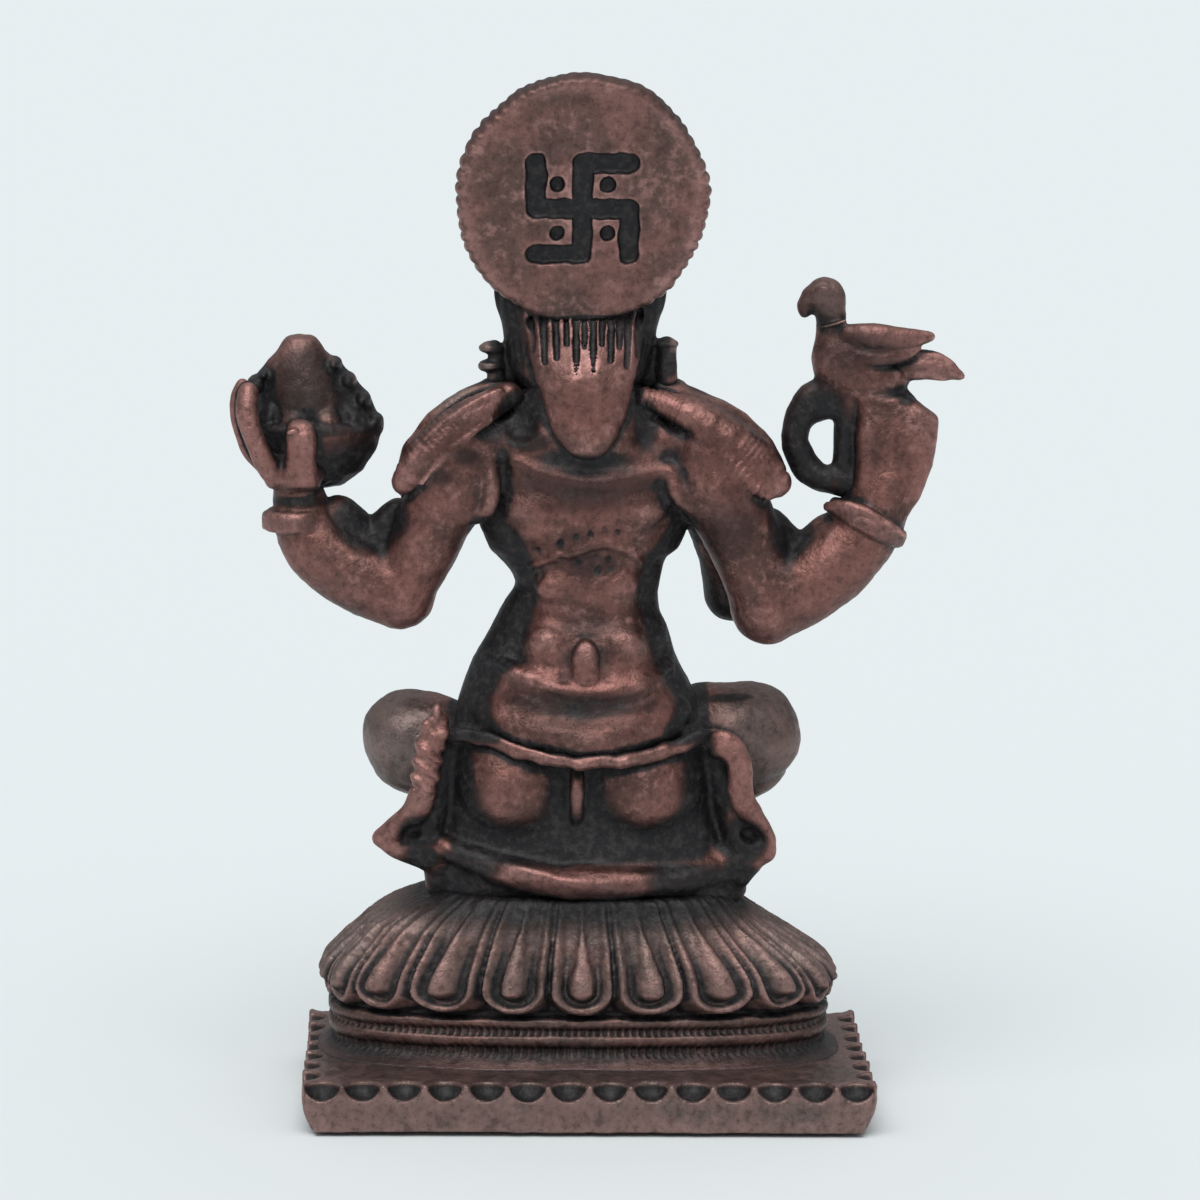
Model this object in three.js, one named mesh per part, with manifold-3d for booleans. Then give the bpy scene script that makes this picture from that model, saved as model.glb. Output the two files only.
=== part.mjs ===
// A small cast figure of the goddess Saraswati, seated on a lotus over an oval drum and a plinth.
// Millimetres. The origin is the middle of the plinth's underside, the figure faces -Y,
// +X is its own left and +Z is up.
import * as THREE from "three";
import { mergeVertices } from "three/addons/utils/BufferGeometryUtils.js";
import Module from "manifold-3d";

const wasm = await Module();
wasm.setup();

// Plinth: a low block with half-moon gouges along its upper edge.
const plinthWidth = 41;
const plinthDepth = 24;
const plinthHeight = 3.6;
const plinthCorner = 0.9;
const gougePitch = 2.92;
const gougeWidth = 2.3;
const gougeReach = 1.5;
const gougeDepth = 1.1;

// Drum: an oval stack of bands, cast a little to one side and towards the figure's front.
const drumWidth = 36.6;
const drumDepth = 15.8;
const drumHeight = 3.7;
const drumSetLeft = 0.5;
const drumSetForward = 1.3;
const bandCount = 3;
const bandRelief = 0.4;

// Lotus: one row of drooping petals around a flat top.
const lotusWidth = 37.2;
const lotusDepth = 17.6;
const lotusHeight = 7.9;
const petalCount = 24;
const petalRelief = 0.7;
const petalScallop = 1.3;

// Figure: its pose and carving are shares of its height, written in sixtieths of it.
const figureHeight = 60;
const figureSetLeft = 0.6;

// Halo: a scalloped disc behind the head with an engraved cross of bent arms and four dots.
const haloDiameter = 18.3;
const haloThickness = 2.7;
const haloLean = 9;
const haloScallops = 36;
const scallopDepth = 0.25;
const signReach = 3.3;
const signDrop = 0.55;
const strokeWidth = 1.4;
const strokeDepth = 0.6;
const dotSpacing = 1.8;
const dotDiameter = 1;

const ovalExponent = 3;
const embed = 0.4;
const weldReach = 0.037;
const unit = figureHeight / 60;
const drumTop = plinthHeight + drumHeight;
const seatLevel = drumTop + lotusHeight;

const castCopper = new THREE.MeshStandardMaterial({
  color: 0x7a5248,
  roughness: 0.5,
  metalness: 0.85,
});

// Turns a closed geometry into a solid that can be joined and cut. Corners closer than the
// weld are drawn together, and the faces that this closes are left out.
function toSolid(geometry, weld = 1e-4) {
  const flat = geometry.index ? geometry.toNonIndexed() : geometry;
  const bare = new THREE.BufferGeometry();
  bare.setAttribute("position", flat.getAttribute("position"));
  const welded = mergeVertices(bare, weld);
  const corners = welded.index.array;
  const faces = [];
  for (let i = 0; i < corners.length; i += 3) {
    const [a, b, c] = [corners[i], corners[i + 1], corners[i + 2]];
    if (a !== b && b !== c && c !== a) faces.push(a, b, c);
  }
  const vertProperties = welded.getAttribute("position").array;
  const triVerts = new Uint32Array(faces);
  return new wasm.Manifold(new wasm.Mesh({ numProp: 3, vertProperties, triVerts }));
}

function toGeometry(solid) {
  const { vertProperties, triVerts } = solid.getMesh();
  const geometry = new THREE.BufferGeometry();
  geometry.setAttribute("position", new THREE.BufferAttribute(vertProperties, 3));
  geometry.setIndex(new THREE.BufferAttribute(triVerts, 1));
  return geometry;
}

function join(solids) {
  return solids.reduce((whole, next) => whole.add(next));
}

// A closed skin of rings, moved from a sphere's grid: the first and last rows are its two ends,
// and cos and sin give the place around each ring, counter-clockwise seen from the last row.
function skin(sides, rows, place) {
  const geometry = new THREE.SphereGeometry(1, sides, rows);
  const position = geometry.getAttribute("position");
  for (let i = 0; i < position.count; i++) {
    const row = Math.floor(i / (sides + 1));
    const column = (i % (sides + 1)) % sides;
    const angle = Math.PI - (2 * Math.PI * column) / sides;
    const point = place(row, Math.cos(angle), Math.sin(angle), column);
    position.setXYZ(i, point.x, point.y, point.z);
  }
  return toSolid(geometry);
}

function turnBy(degrees) {
  const [ax, ay, az] = degrees.map(THREE.MathUtils.degToRad);
  return new THREE.Matrix4().makeRotationFromEuler(new THREE.Euler(ax, ay, az));
}

function ball([x, y, z], [rx, ry, rz], { turn = [0, 0, 0], sides = 8, rows = 4 } = {}) {
  const geometry = new THREE.SphereGeometry(1, sides, rows);
  geometry.rotateX(Math.PI / 2);
  geometry.scale(rx, ry, rz);
  geometry.applyMatrix4(turnBy(turn));
  geometry.translate(x, y, z);
  return toSolid(geometry);
}

function block([x, y, z], [width, depth, height], turn = [0, 0, 0]) {
  const geometry = new THREE.BoxGeometry(width, depth, height);
  geometry.applyMatrix4(turnBy(turn));
  geometry.translate(x, y, z);
  return toSolid(geometry);
}

// A limb: rings along a smooth curve through stations [x, y, z, radius], with blunt ends, or
// domes where they show. Its depth is its radius towards "facing" over the one across it.
function limb(stations, options = {}) {
  const { sides = 6, rings = 2, depth = 1, facing = [0, 1, 0], ribs = 0, domed = false } = options;
  const curve = new THREE.CatmullRomCurve3(
    stations.map(([x, y, z]) => new THREE.Vector3(x, y, z)),
  );
  const front = new THREE.Vector3(...facing);
  const last = stations.length - 1;
  const radiusAt = (t) => {
    const i = Math.min(Math.floor(t * last), last - 1);
    return THREE.MathUtils.lerp(stations[i][3], stations[i + 1][3], t * last - i);
  };
  // Each end step is [push along the curve, share of the radius], from the tip inwards.
  const ends = domed ? [[1, 0], [0.65, 0.75]] : [[0.6, 0]];
  const rows = rings + 2 * ends.length;
  return skin(sides, rows, (row, cos, sin) => {
    const t = THREE.MathUtils.clamp((row - ends.length) / rings, 0, 1);
    const [push, share] = ends[Math.min(row, rows - row)] ?? [0, 1];
    const radius = radiusAt(t) * (1 + (row % 2 ? ribs : 0));
    const along = curve.getTangent(t);
    const across = along.clone().cross(front).normalize();
    const outward = along.clone().cross(across);
    return curve
      .getPoint(t)
      .addScaledVector(along, push * radius * (t < 0.5 ? -1 : 1))
      .addScaledVector(across, share * radius * cos)
      .addScaledVector(outward, share * radius * depth * sin);
  });
}

// An upright form: superellipse sections [height, half width, half depth, middle y, middle x].
function stack(sections, { sides = 12, exponent = 2.4 } = {}) {
  const bend = (value) => Math.sign(value) * Math.abs(value) ** (2 / exponent);
  const last = sections.length + 1;
  return skin(sides, last, (row, cos, sin) => {
    const section = sections[THREE.MathUtils.clamp(row - 1, 0, last - 2)];
    const [z, rx, ry, y, x = 0] = section;
    const reach = row === 0 || row === last ? 0 : 1;
    return new THREE.Vector3(x + reach * rx * bend(cos), y + reach * ry * bend(sin), z);
  });
}

// A turned form on a vertical axis: profile points [radius, height] from axis to axis.
function turned(profile, [x, y, z], { sides = 8, lean = 0 } = {}) {
  const geometry = new THREE.LatheGeometry(
    profile.map(([radius, height]) => new THREE.Vector2(radius, height)),
    sides,
  );
  geometry.rotateX(Math.PI / 2);
  geometry.rotateY(THREE.MathUtils.degToRad(lean));
  geometry.translate(x, y, z);
  return toSolid(geometry);
}

// The plan of the drum and the lotus: a closed curve between an ellipse and a rectangle, with
// closer steps towards its two narrow ends.
class Oval extends THREE.Curve {
  constructor(halfWidth, halfDepth) {
    super();
    this.halfWidth = halfWidth;
    this.halfDepth = halfDepth;
  }
  getPoint(t, target = new THREE.Vector3()) {
    const [cos, sin] = [Math.cos(2 * Math.PI * t), Math.sin(2 * Math.PI * t)];
    const power = (value) => Math.abs(value) ** ovalExponent;
    const reach = (power(cos) + power(sin)) ** (-1 / ovalExponent);
    return target.set(this.halfWidth * reach * cos, this.halfDepth * reach * sin, 0);
  }
}

// An upright form on the oval plan, with equal turns around it. Each row gives
// [width share, depth share, height, carve], and carve(column) gives [outward, up] in millimetres.
function ovalForm(oval, rows, sides) {
  const edge = [];
  for (let i = 0; i < sides; i++) edge.push(oval.getPoint(i / sides));
  const last = rows.length + 1;
  return skin(sides, last, (row, cos, sin, column) => {
    const [shareX, shareY, z, carve] = rows[THREE.MathUtils.clamp(row - 1, 0, last - 2)];
    if (row === 0 || row === last) return new THREE.Vector3(drumSetLeft, -drumSetForward, z);
    const step = (sides + sides / 2 - column) % sides;
    const point = edge[step];
    const normal = new THREE.Vector2(point.x / oval.halfWidth ** 2, point.y / oval.halfDepth ** 2);
    normal.normalize();
    const [outward, up] = carve ? carve(step) : [0, 0];
    return new THREE.Vector3(
      drumSetLeft + point.x * shareX + normal.x * outward,
      point.y * shareY + normal.y * outward - drumSetForward,
      z + up,
    );
  });
}

function makePlinth() {
  const [x, y, r] = [plinthWidth / 2, plinthDepth / 2, plinthCorner];
  const outline = new THREE.Shape();
  outline.moveTo(x, -y + r);
  outline.absarc(x - r, y - r, r, 0, Math.PI / 2);
  outline.absarc(-x + r, y - r, r, Math.PI / 2, Math.PI);
  outline.absarc(-x + r, -y + r, r, Math.PI, 1.5 * Math.PI);
  outline.absarc(x - r, -y + r, r, 1.5 * Math.PI, 2 * Math.PI);
  const slab = new THREE.ExtrudeGeometry(outline, {
    depth: plinthHeight,
    bevelEnabled: false,
    curveSegments: 3,
  });
  const gouges = [];
  const gouge = (gx, gy, angle) => {
    const radii = [gougeWidth / 2, gougeReach, gougeDepth];
    const turn = [0, 0, angle];
    gouges.push(ball([gx, gy, plinthHeight], radii, { turn, sides: 6, rows: 3 }));
  };
  const alongWidth = Math.floor((plinthWidth - gougeWidth) / gougePitch);
  for (let i = 0; i <= alongWidth; i++) {
    const place = (i - alongWidth / 2) * gougePitch;
    gouge(place, y, 0);
    gouge(place, -y, 0);
  }
  const alongDepth = Math.floor((plinthDepth - 2 * gougeReach - gougeWidth) / gougePitch);
  for (let i = 0; i <= alongDepth; i++) {
    const place = (i - alongDepth / 2) * gougePitch;
    gouge(x, place, 90);
    gouge(-x, place, 90);
  }
  return toSolid(slab).subtract(join(gouges));
}

function makeDrum() {
  const oval = new Oval(drumWidth / 2, drumDepth / 2);
  const inset = (share) => [
    1 - (share * bandRelief) / oval.halfWidth,
    1 - (share * bandRelief) / oval.halfDepth,
  ];
  const rows = [[...inset(0), plinthHeight - embed]];
  const pitch = drumHeight / bandCount;
  for (let i = 0; i < bandCount; i++) {
    const z = plinthHeight + i * pitch;
    if (i) rows.push([...inset(1), z]);
    rows.push([...inset(0), z + 0.5 * pitch]);
  }
  rows.push([...inset(2), drumTop + embed]);
  return ovalForm(oval, rows, 28);
}

// The petals' relief: columns run from boss to flank, valley, flank and on to the next boss.
function makeLotus() {
  const columns = 4;
  const outward = [0.35, 0.1, -1, 0.1];
  const rise = [0, 0.25, 1, 0.25];
  const carve = (relief, bulge, scallop) => (column) => {
    const i = column % columns;
    const depth = i === 2 ? outward[i] : outward[i] * bulge;
    return [petalRelief * relief * depth, petalScallop * scallop * rise[i]];
  };
  const at = (share) => drumTop + share * lotusHeight;
  const rows = [
    [0.96, 0.94, drumTop - embed],
    [0.995, 0.99, at(0.05), carve(0.8, 0.1, 1)],
    [0.995, 0.99, at(0.28), carve(0.9, 1, 0.2)],
    [0.86, 0.93, at(0.6), carve(0.8, 0.9, 0)],
    [0.6, 0.76, at(1)],
  ];
  return ovalForm(new Oval(lotusWidth / 2, lotusDepth / 2), rows, petalCount * columns);
}

// The seat, hips, waist, ribs and shoulders.
function makeTrunk() {
  const body = stack([
    [-0.8, 10.9, 6.2, -1.2, -0.3],
    [2.4, 11.1, 6.4, -1.2, -0.3],
    [5.2, 10.6, 4.6, -1.2],
    [10.6, 9.8, 4.8, -1.4],
    [14.2, 8.9, 5.6, -1.8, 0.1],
    [17.3, 7.0, 5.2, -1.5, 0.1],
    [21.6, 5.2, 3.8, -0.9, -0.35],
    [25.4, 7.4, 4.3, -0.8],
    [29.6, 8.6, 4.4, -0.8],
    [33.4, 7.4, 3.6, -0.8],
    [38.0, 3.2, 2.9, -0.9],
  ]);
  return join([
    body,
    ball([4.7, 2.0, 7.6], [3.1, 3.6, 3.5]),
    ball([-4.0, 2.0, 7.6], [3.3, 3.6, 3.5]),
    ball([3.1, -4.4, 27.4], [2.5, 2.2, 2.4]),
    ball([-3.1, -4.4, 27.4], [2.5, 2.2, 2.4]),
  ]);
}

// Raised lines of the dress on the back: neckline, belts, hanging cord, hem, and the tab and
// strip that stand across them.
function makeDress() {
  // A line sags across the back from one side to the other: ends and middle are [y, z].
  const line = (reach, [endY, endZ], [middleY, middleZ], radius, tilt = 0) => {
    const stations = [1, 0.5, 0, -0.5, -1].map((share) => {
      const ease = share * share;
      const y = THREE.MathUtils.lerp(middleY, endY, ease);
      const z = THREE.MathUtils.lerp(middleZ, endZ, ease) + tilt * share;
      return [reach * share, y, z, radius];
    });
    return limb(stations, { sides: 4, rings: 4 });
  };
  return join([
    line(5.7, [3.0, 31.4], [3.8, 30.5], 0.6, 0.2),
    line(6.0, [3.0, 16.7], [4.4, 15.4], 0.75),
    line(7.0, [2.4, 14.1], [4.7, 13.1], 1.15),
    line(9.1, [2.8, 12.1], [5.0, 10.4], 0.7),
    line(10.4, [2.7, 3.7], [5.4, 2.4], 1.1, 0.4),
    limb([[0, 4.2, 16.6, 0.95], [0, 3.9, 18.4, 0.95]], { rings: 1, depth: 0.8, domed: true }),
    limb([[0.4, 3.6, 10.2, 0.5], [0.4, 3.6, 6.2, 0.5]], { sides: 5, rings: 1, depth: 1.6 }),
  ]);
}

// The ends of the waist sash that fall beside the seat and turn outwards.
function makeSashes() {
  const left = [
    [9.3, 2.8, 14.0, 1.1],
    [10.6, 3.2, 10.8, 1.2],
    [11.2, 3.2, 8.2, 1.2],
    [12.3, 2.7, 5.3, 1.3],
    [14.0, 2.2, 3.6, 1.2],
  ];
  const right = [
    [-9.5, 2.8, 12.3, 1.1],
    [-11.1, 3.2, 10.2, 1.2],
    [-11.5, 3.2, 7.8, 1.2],
    [-12.1, 2.7, 5.7, 1.3],
    [-13.2, 2.2, 3.3, 1.3],
  ];
  const folds = { rings: 6, ribs: 0.14 };
  return join([
    limb(left, folds),
    limb(right, folds),
    limb([[10.3, 0.8, 8.6, 1.7], [11.8, 1.4, 3.4, 1.8]], { rings: 1 }),
    limb([[-10.6, 0.8, 8.6, 1.7], [-11.9, 1.4, 2.5, 1.9]], { rings: 1 }),
  ]);
}

// Crossed legs on a cushion: thighs out to the knees, shins back across the seat, the feet and
// the fan of pleats that falls between them.
function makeLegs() {
  const cushion = stack(
    [
      [-0.8, 11.0, 5.6, -2.2, -0.3],
      [1.0, 11.5, 6.6, -2.8, -0.3],
      [3.6, 10.8, 5.6, -3.0],
    ],
    { exponent: 3 },
  );
  const pleats = [-1, 0, 1].map((i) => {
    const [sin, cos] = [Math.sin(0.5 * i), Math.cos(0.5 * i)];
    const from = [1.6 * sin, -9.0, 4.4 - 1.6 * cos, 0.9];
    const to = [4.4 * sin, -9.6, 4.4 - 4.4 * cos, 1.2];
    return limb([from, to], { rings: 1, depth: 0.7 });
  });
  const thigh = { sides: 8, domed: true };
  const upperShin = [
    [12.2, -5.4, 8.4, 2.9],
    [4.6, -8.0, 6.2, 2.4],
    [-3.4, -8.3, 5.6, 1.8],
    [-7.4, -7.6, 6.6, 1.2],
  ];
  const lowerShin = [
    [-12.4, -5.4, 8.2, 2.9],
    [-4.6, -8.2, 4.2, 2.3],
    [3.6, -8.3, 2.6, 1.8],
    [7.4, -7.6, 2.2, 1.2],
  ];
  return join([
    cushion,
    limb([[3.6, -2.0, 8.9, 3.3], [8.2, -3.8, 9.2, 3.5], [12.7, -4.8, 9.4, 3.4]], thigh),
    limb([[-3.6, -2.0, 9.2, 3.4], [-8.8, -3.8, 9.8, 3.7], [-13.1, -4.8, 10.0, 3.8]], thigh),
    limb(upperShin, { rings: 3 }),
    limb(lowerShin, { rings: 3 }),
    ...pleats,
  ]);
}

// The arms that rise behind, with bracelets; the inner bend of each elbow is filled with metal.
function makeBackArms() {
  const left = [
    [8.6, 0.2, 31.4, 3.0],
    [10.9, 0.4, 26.6, 2.6],
    [14.0, 0.4, 21.6, 2.6],
    [16.6, 0.2, 23.6, 2.9],
    [19.8, 0, 26.5, 2.5],
    [20.4, 0, 29.6, 1.95],
  ];
  const right = [
    [-9.4, 0.2, 31.4, 3.1],
    [-11.3, 0.4, 26.6, 2.9],
    [-14.6, 0.4, 21.0, 2.8],
    [-17.2, 0.2, 23.4, 2.9],
    [-20.3, 0, 26.8, 2.8],
    [-22.0, 0, 30.2, 2.5],
  ];
  const bracelet = (radius) => [
    [0, -0.7],
    [radius - 0.35, -0.7],
    [radius, 0],
    [radius - 0.35, 0.7],
    [0, 0.7],
  ];
  return join([
    limb(left, { sides: 7, rings: 5 }),
    limb(right, { sides: 7, rings: 5 }),
    limb([[13.1, -0.6, 26.6, 2.0], [15.3, -0.6, 25.4, 1.7], [17.8, -0.6, 26.9, 2.0]]),
    limb([[-13.3, -0.6, 26.6, 2.0], [-16.0, -0.6, 24.5, 1.8], [-18.2, -0.6, 26.4, 1.6]]),
    turned(bracelet(2.75), [20.4, 0, 27.3], { lean: 5 }),
    turned(bracelet(3.05), [-20.5, 0, 27.0], { lean: -27 }),
  ]);
}

// The upper left hand holds a pot with a ring of leaves and a coconut: the leaves are ridges.
function makePotHand() {
  const [x, y, rimHeight] = [19.5, -1.7, 33.6];
  const leaves = 7;
  // Each row is [radius, height over the rim, ridge].
  const profile = [
    [2.6, -4.2, 0],
    [4.5, -1.8, 0],
    [5.15, 0, 0],
    [4.4, 0.5, 0.4],
    [3.8, 2.4, 0.5],
    [2.7, 4.5, 0.3],
    [1.2, 6.1, 0],
  ];
  const last = profile.length + 1;
  const pot = skin(2 * leaves, last, (row, cos, sin, column) => {
    if (row === 0) return new THREE.Vector3(x, y, rimHeight - 4.6);
    if (row === last) return new THREE.Vector3(x + 0.7, y, rimHeight + 6.8);
    const [radius, height, ridge] = profile[row - 1];
    const reach = radius + (column % 2 ? ridge : -ridge);
    const drift = 0.1 * Math.max(height, 0);
    return new THREE.Vector3(x + drift + reach * cos, y + reach * sin, rimHeight + height);
  });
  const outer = [
    [21.6, 0.8, 30.4, 1.0],
    [23.6, 1.0, 32.4, 0.9],
    [24.5, 0.8, 35.0, 0.85],
    [24.2, 0.2, 37.0, 0.75],
  ];
  return join([
    pot,
    ball([20.4, 0.2, 30.2], [2.2, 1.5, 1.9]),
    limb(outer, { rings: 3 }),
    limb([[22.2, -0.4, 31.0, 1.0], [24.5, -0.8, 33.8, 0.9], [24.6, -1.0, 36.7, 0.8]]),
    limb([[20.1, 1.0, 30.2, 1.2], [20.1, 1.7, 32.2, 1.15], [20.1, 1.4, 34.2, 1.1]]),
  ]);
}

// The upper right hand carries a parrot; a bent finger closes to a ring beside the palm.
function makeParrotHand() {
  const palm = stack(
    [
      [28.0, 2.1, 1.6, 0.2, -21.9],
      [31.0, 2.7, 1.9, 0.3, -22.4],
      [34.2, 2.8, 1.8, 0.3, -22.5],
      [35.8, 2.3, 1.4, 0.2, -22.0],
    ],
    { sides: 8, exponent: 3 },
  );
  const finger = [
    [-19.4, -0.6, 35.9, 1.3],
    [-16.9, -0.6, 35.7, 1.35],
    [-15.4, -0.6, 33.3, 1.25],
    [-16.4, -0.6, 30.7, 1.25],
    [-19.4, -0.6, 29.7, 1.2],
  ];
  const wings = [
    [-18.7, -0.3, 40.3, 1.4],
    [-21.6, -0.3, 40.2, 1.4],
    [-24.9, -0.3, 40.6, 0.7],
  ];
  const tail = [
    [-22.0, -0.3, 38.6, 1.7],
    [-24.8, -0.3, 38.5, 1.5],
    [-27.2, -0.3, 37.9, 0.9],
  ];
  return join([
    palm,
    limb(finger, { rings: 6 }),
    limb([[-18.9, -0.6, 30.0, 1.1], [-20.6, -0.6, 36.4, 2.2]], { rings: 1 }),
    ball([-20.3, -0.3, 38.5], [3.9, 2.1, 2.7], { turn: [0, 12, 0] }),
    limb([[-18.0, -0.3, 39.2, 1.8], [-17.8, -0.4, 42.4, 1.2]], { rings: 1 }),
    ball([-17.3, -0.4, 43.3], [1.65, 1.4, 1.6], { sides: 7 }),
    limb([[-16.5, -0.4, 43.1, 0.9], [-15.6, -0.4, 42.4, 0.6]], { sides: 5, rings: 1 }),
    limb(wings, { depth: 1.7 }),
    limb(tail, { depth: 0.7 }),
  ]);
}

// The arms in front: the right hand teaches, and the left hand holds a palm-leaf book.
function makeFrontArms() {
  const left = [
    [8.6, -1.8, 30.6, 2.6],
    [11.2, -2.8, 25.6, 2.1],
    [12.9, -3.8, 21.8, 2.0],
    [12.2, -6.6, 22.8, 1.8],
    [11.2, -8.0, 25.4, 1.4],
  ];
  const right = [
    [-8.8, -1.8, 30.6, 2.4],
    [-11.0, -2.8, 25.0, 2.3],
    [-11.9, -3.8, 20.9, 2.2],
    [-11.6, -6.6, 22.6, 1.8],
    [-10.8, -8.0, 25.4, 1.4],
  ];
  const bent = { rings: 6, facing: [1, 0.3, 0] };
  const small = { sides: 5, rings: 1 };
  return join([
    limb(left, bent),
    limb(right, bent),
    ball([-10.9, -8.5, 27.2], [1.8, 0.95, 2.0]),
    limb([[-11.3, -8.6, 28.0, 1.2], [-11.3, -8.4, 31.0, 0.9]], { ...small, depth: 0.5 }),
    limb([[-9.8, -8.8, 28.0, 0.65], [-9.4, -9.5, 29.2, 0.55]], small),
    ball([10.8, -8.3, 26.4], [1.7, 1.0, 1.7]),
    block([10.6, -9.0, 29.0], [5.2, 1.5, 3.8], [10, 0, 0]),
  ]);
}

// Garlands over the shoulders, ribbed across, and the necklaces in front.
function makeGarlands() {
  const left = [
    [6.3, 0.4, 36.2, 1.4],
    [9.2, 1.4, 34.6, 1.5],
    [11.3, 2.0, 32.5, 1.5],
    [12.6, 2.2, 30.4, 1.5],
  ];
  const right = [
    [-6.9, 0.4, 35.8, 1.4],
    [-9.9, 1.4, 34.3, 1.45],
    [-12.0, 2.0, 32.1, 1.4],
    [-13.9, 2.2, 30.2, 1.45],
  ];
  const ribbed = { rings: 8, ribs: 0.1, depth: 1.2 };
  const front = (side) => {
    const stations = [
      [side * 6.4, -1.0, 36.0, 1.4],
      [side * 9.4, -2.4, 33.4, 1.4],
      [side * 11.4, -3.0, 30.6, 1.2],
    ];
    return limb(stations);
  };
  const necklace = (reach, top, low) => {
    const stations = [-1, -0.6, 0, 0.6, 1].map((share) => {
      const fall = 1 - share * share;
      const z = THREE.MathUtils.lerp(top, low, fall);
      return [reach * share, -3.0 - 3.0 * fall, z, 0.65];
    });
    return limb(stations, { sides: 4, rings: 4 });
  };
  return join([
    limb(left, ribbed),
    limb(right, ribbed),
    front(1),
    front(-1),
    necklace(3.8, 34.6, 31.4),
    necklace(5.2, 33.6, 23.4),
  ]);
}

// Head, face, crown, hair and ear ornaments. The face is a calm, general one.
function makeHead() {
  const x = 0.25;
  const hair = stack(
    [
      [36.6, 4.7, 2.0, -0.2, x],
      [39.6, 5.7, 2.4, -0.4, x],
      [43.0, 6.5, 3.0, -0.8, x],
      [46.6, 6.2, 3.2, -1.4, x],
      [50.0, 4.6, 2.8, -1.8, x],
    ],
    { exponent: 2.2 },
  );
  // Points [radius, height] from under the band to the finial's tip.
  const crown = [
    [0, -1],
    [4.8, 0.2],
    [4.2, 1.4],
    [4.0, 2.8],
    [2.9, 5.4],
    [1.1, 8.0],
    [1.3, 8.8],
    [0, 10.2],
  ];
  const small = { sides: 6, rows: 3 };
  const pairs = [1, -1].flatMap((side) => [
    ball([x + side * 1.7, -5.9, 45.4], [1.0, 0.75, 0.5], { turn: [0, 0, side * 14], ...small }),
    ball([x + side * 6.2, -0.6, 38.9], [1.2, 1.3, 0.75], small),
    ball([x + side * 6.1, -0.6, 37.7], [1.2, 1.3, 0.9], small),
  ]);
  return join([
    ball([x, -2.4, 44.6], [4.2, 4.4, 5.4], { sides: 10, rows: 7 }),
    hair,
    turned(crown, [x, -2.2, 47.6]),
    ...pairs,
    limb([[x, -6.3, 46.0, 0.4], [x, -6.9, 44.2, 0.6]], { sides: 5, rings: 1 }),
    ball([x, -6.3, 42.4], [1.05, 0.6, 0.45], small),
  ]);
}

// The gathered lock down the nape, with strands that run into it from under the halo.
function makeLock() {
  const lock = [
    [0.25, 1.0, 40.2, 4.0],
    [0.25, 2.5, 37.2, 3.4],
    [0.2, 3.2, 34.6, 2.5],
    [0.1, 3.4, 33.4, 1.7],
  ];
  const strands = [-2, -1, 0, 1, 2].map((i) => {
    const stations = [
      [0.25 + i * 1.9, 1.6, 42.0, 0.7],
      [0.25 + i * 1.4, 3.0, 38.6, 0.6],
    ];
    return limb(stations, { sides: 5, rings: 1 });
  });
  return join([limb(lock, { sides: 8, rings: 3, depth: 0.52 }), ...strands]);
}

// A bar with round ends, as a cutter that stands across the disc's face.
function stroke([x0, y0], [x1, y1]) {
  const angle = Math.atan2(y1 - y0, x1 - x0);
  const radius = strokeWidth / 2;
  const outline = new THREE.Shape();
  outline.absarc(x1, y1, radius, angle - Math.PI / 2, angle + Math.PI / 2);
  outline.absarc(x0, y0, radius, angle + Math.PI / 2, angle + 1.5 * Math.PI);
  return new THREE.ExtrudeGeometry(outline, {
    depth: 2 * strokeDepth,
    bevelEnabled: false,
    curveSegments: 2,
  });
}

// Drawn flat with its back face up at z = 0, seen from behind with +x to the figure's right.
function makeHalo() {
  const rim = haloDiameter / 2;
  const outline = new THREE.Shape();
  for (let i = 0; i < 2 * haloScallops; i++) {
    const angle = (Math.PI * i) / haloScallops;
    const radius = rim - (i % 2 ? scallopDepth : 0);
    const [x, y] = [radius * Math.cos(angle), radius * Math.sin(angle)];
    if (i === 0) outline.moveTo(x, y);
    else outline.lineTo(x, y);
  }
  outline.closePath();
  const disc = new THREE.ExtrudeGeometry(outline, { depth: haloThickness, bevelEnabled: false });
  disc.translate(0, 0, -haloThickness);
  const r = signReach;
  const cuts = [
    stroke([0, -r], [0, r]),
    stroke([-r, 0], [r, 0]),
    stroke([0, r], [r, r]),
    stroke([r, 0], [r, -r]),
    stroke([0, -r], [-r, -r]),
    stroke([-r, 0], [-r, r]),
  ];
  const radius = dotDiameter / 2;
  for (const [sx, sy] of [[1, 1], [-1, 1], [-1, -1], [1, -1]]) {
    const dot = new THREE.CylinderGeometry(radius, radius, 2 * strokeDepth, 6);
    dot.rotateX(Math.PI / 2);
    cuts.push(dot.translate(sx * dotSpacing, sy * dotSpacing, strokeDepth));
  }
  const sign = join(cuts.map((cut) => toSolid(cut.translate(0, -signDrop, -strokeDepth))));
  const halo = toGeometry(toSolid(disc).subtract(sign));
  halo.rotateX(Math.PI / 2);
  halo.rotateZ(Math.PI);
  halo.rotateX(-THREE.MathUtils.degToRad(haloLean));
  return halo;
}

function makeFigure() {
  const carved = toGeometry(
    join([
      makeTrunk(),
      makeDress(),
      makeSashes(),
      makeLegs(),
      makeBackArms(),
      makePotHand(),
      makeParrotHand(),
      makeFrontArms(),
      makeGarlands(),
      makeHead(),
      makeLock(),
    ]),
  );
  carved.scale(unit, unit, unit);
  const halo = makeHalo().translate(0.3 * unit, 3.2 * unit, 50.2 * unit);
  return [carved, halo].map((piece) => toSolid(piece.translate(figureSetLeft, 0, seatLevel)));
}

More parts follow.
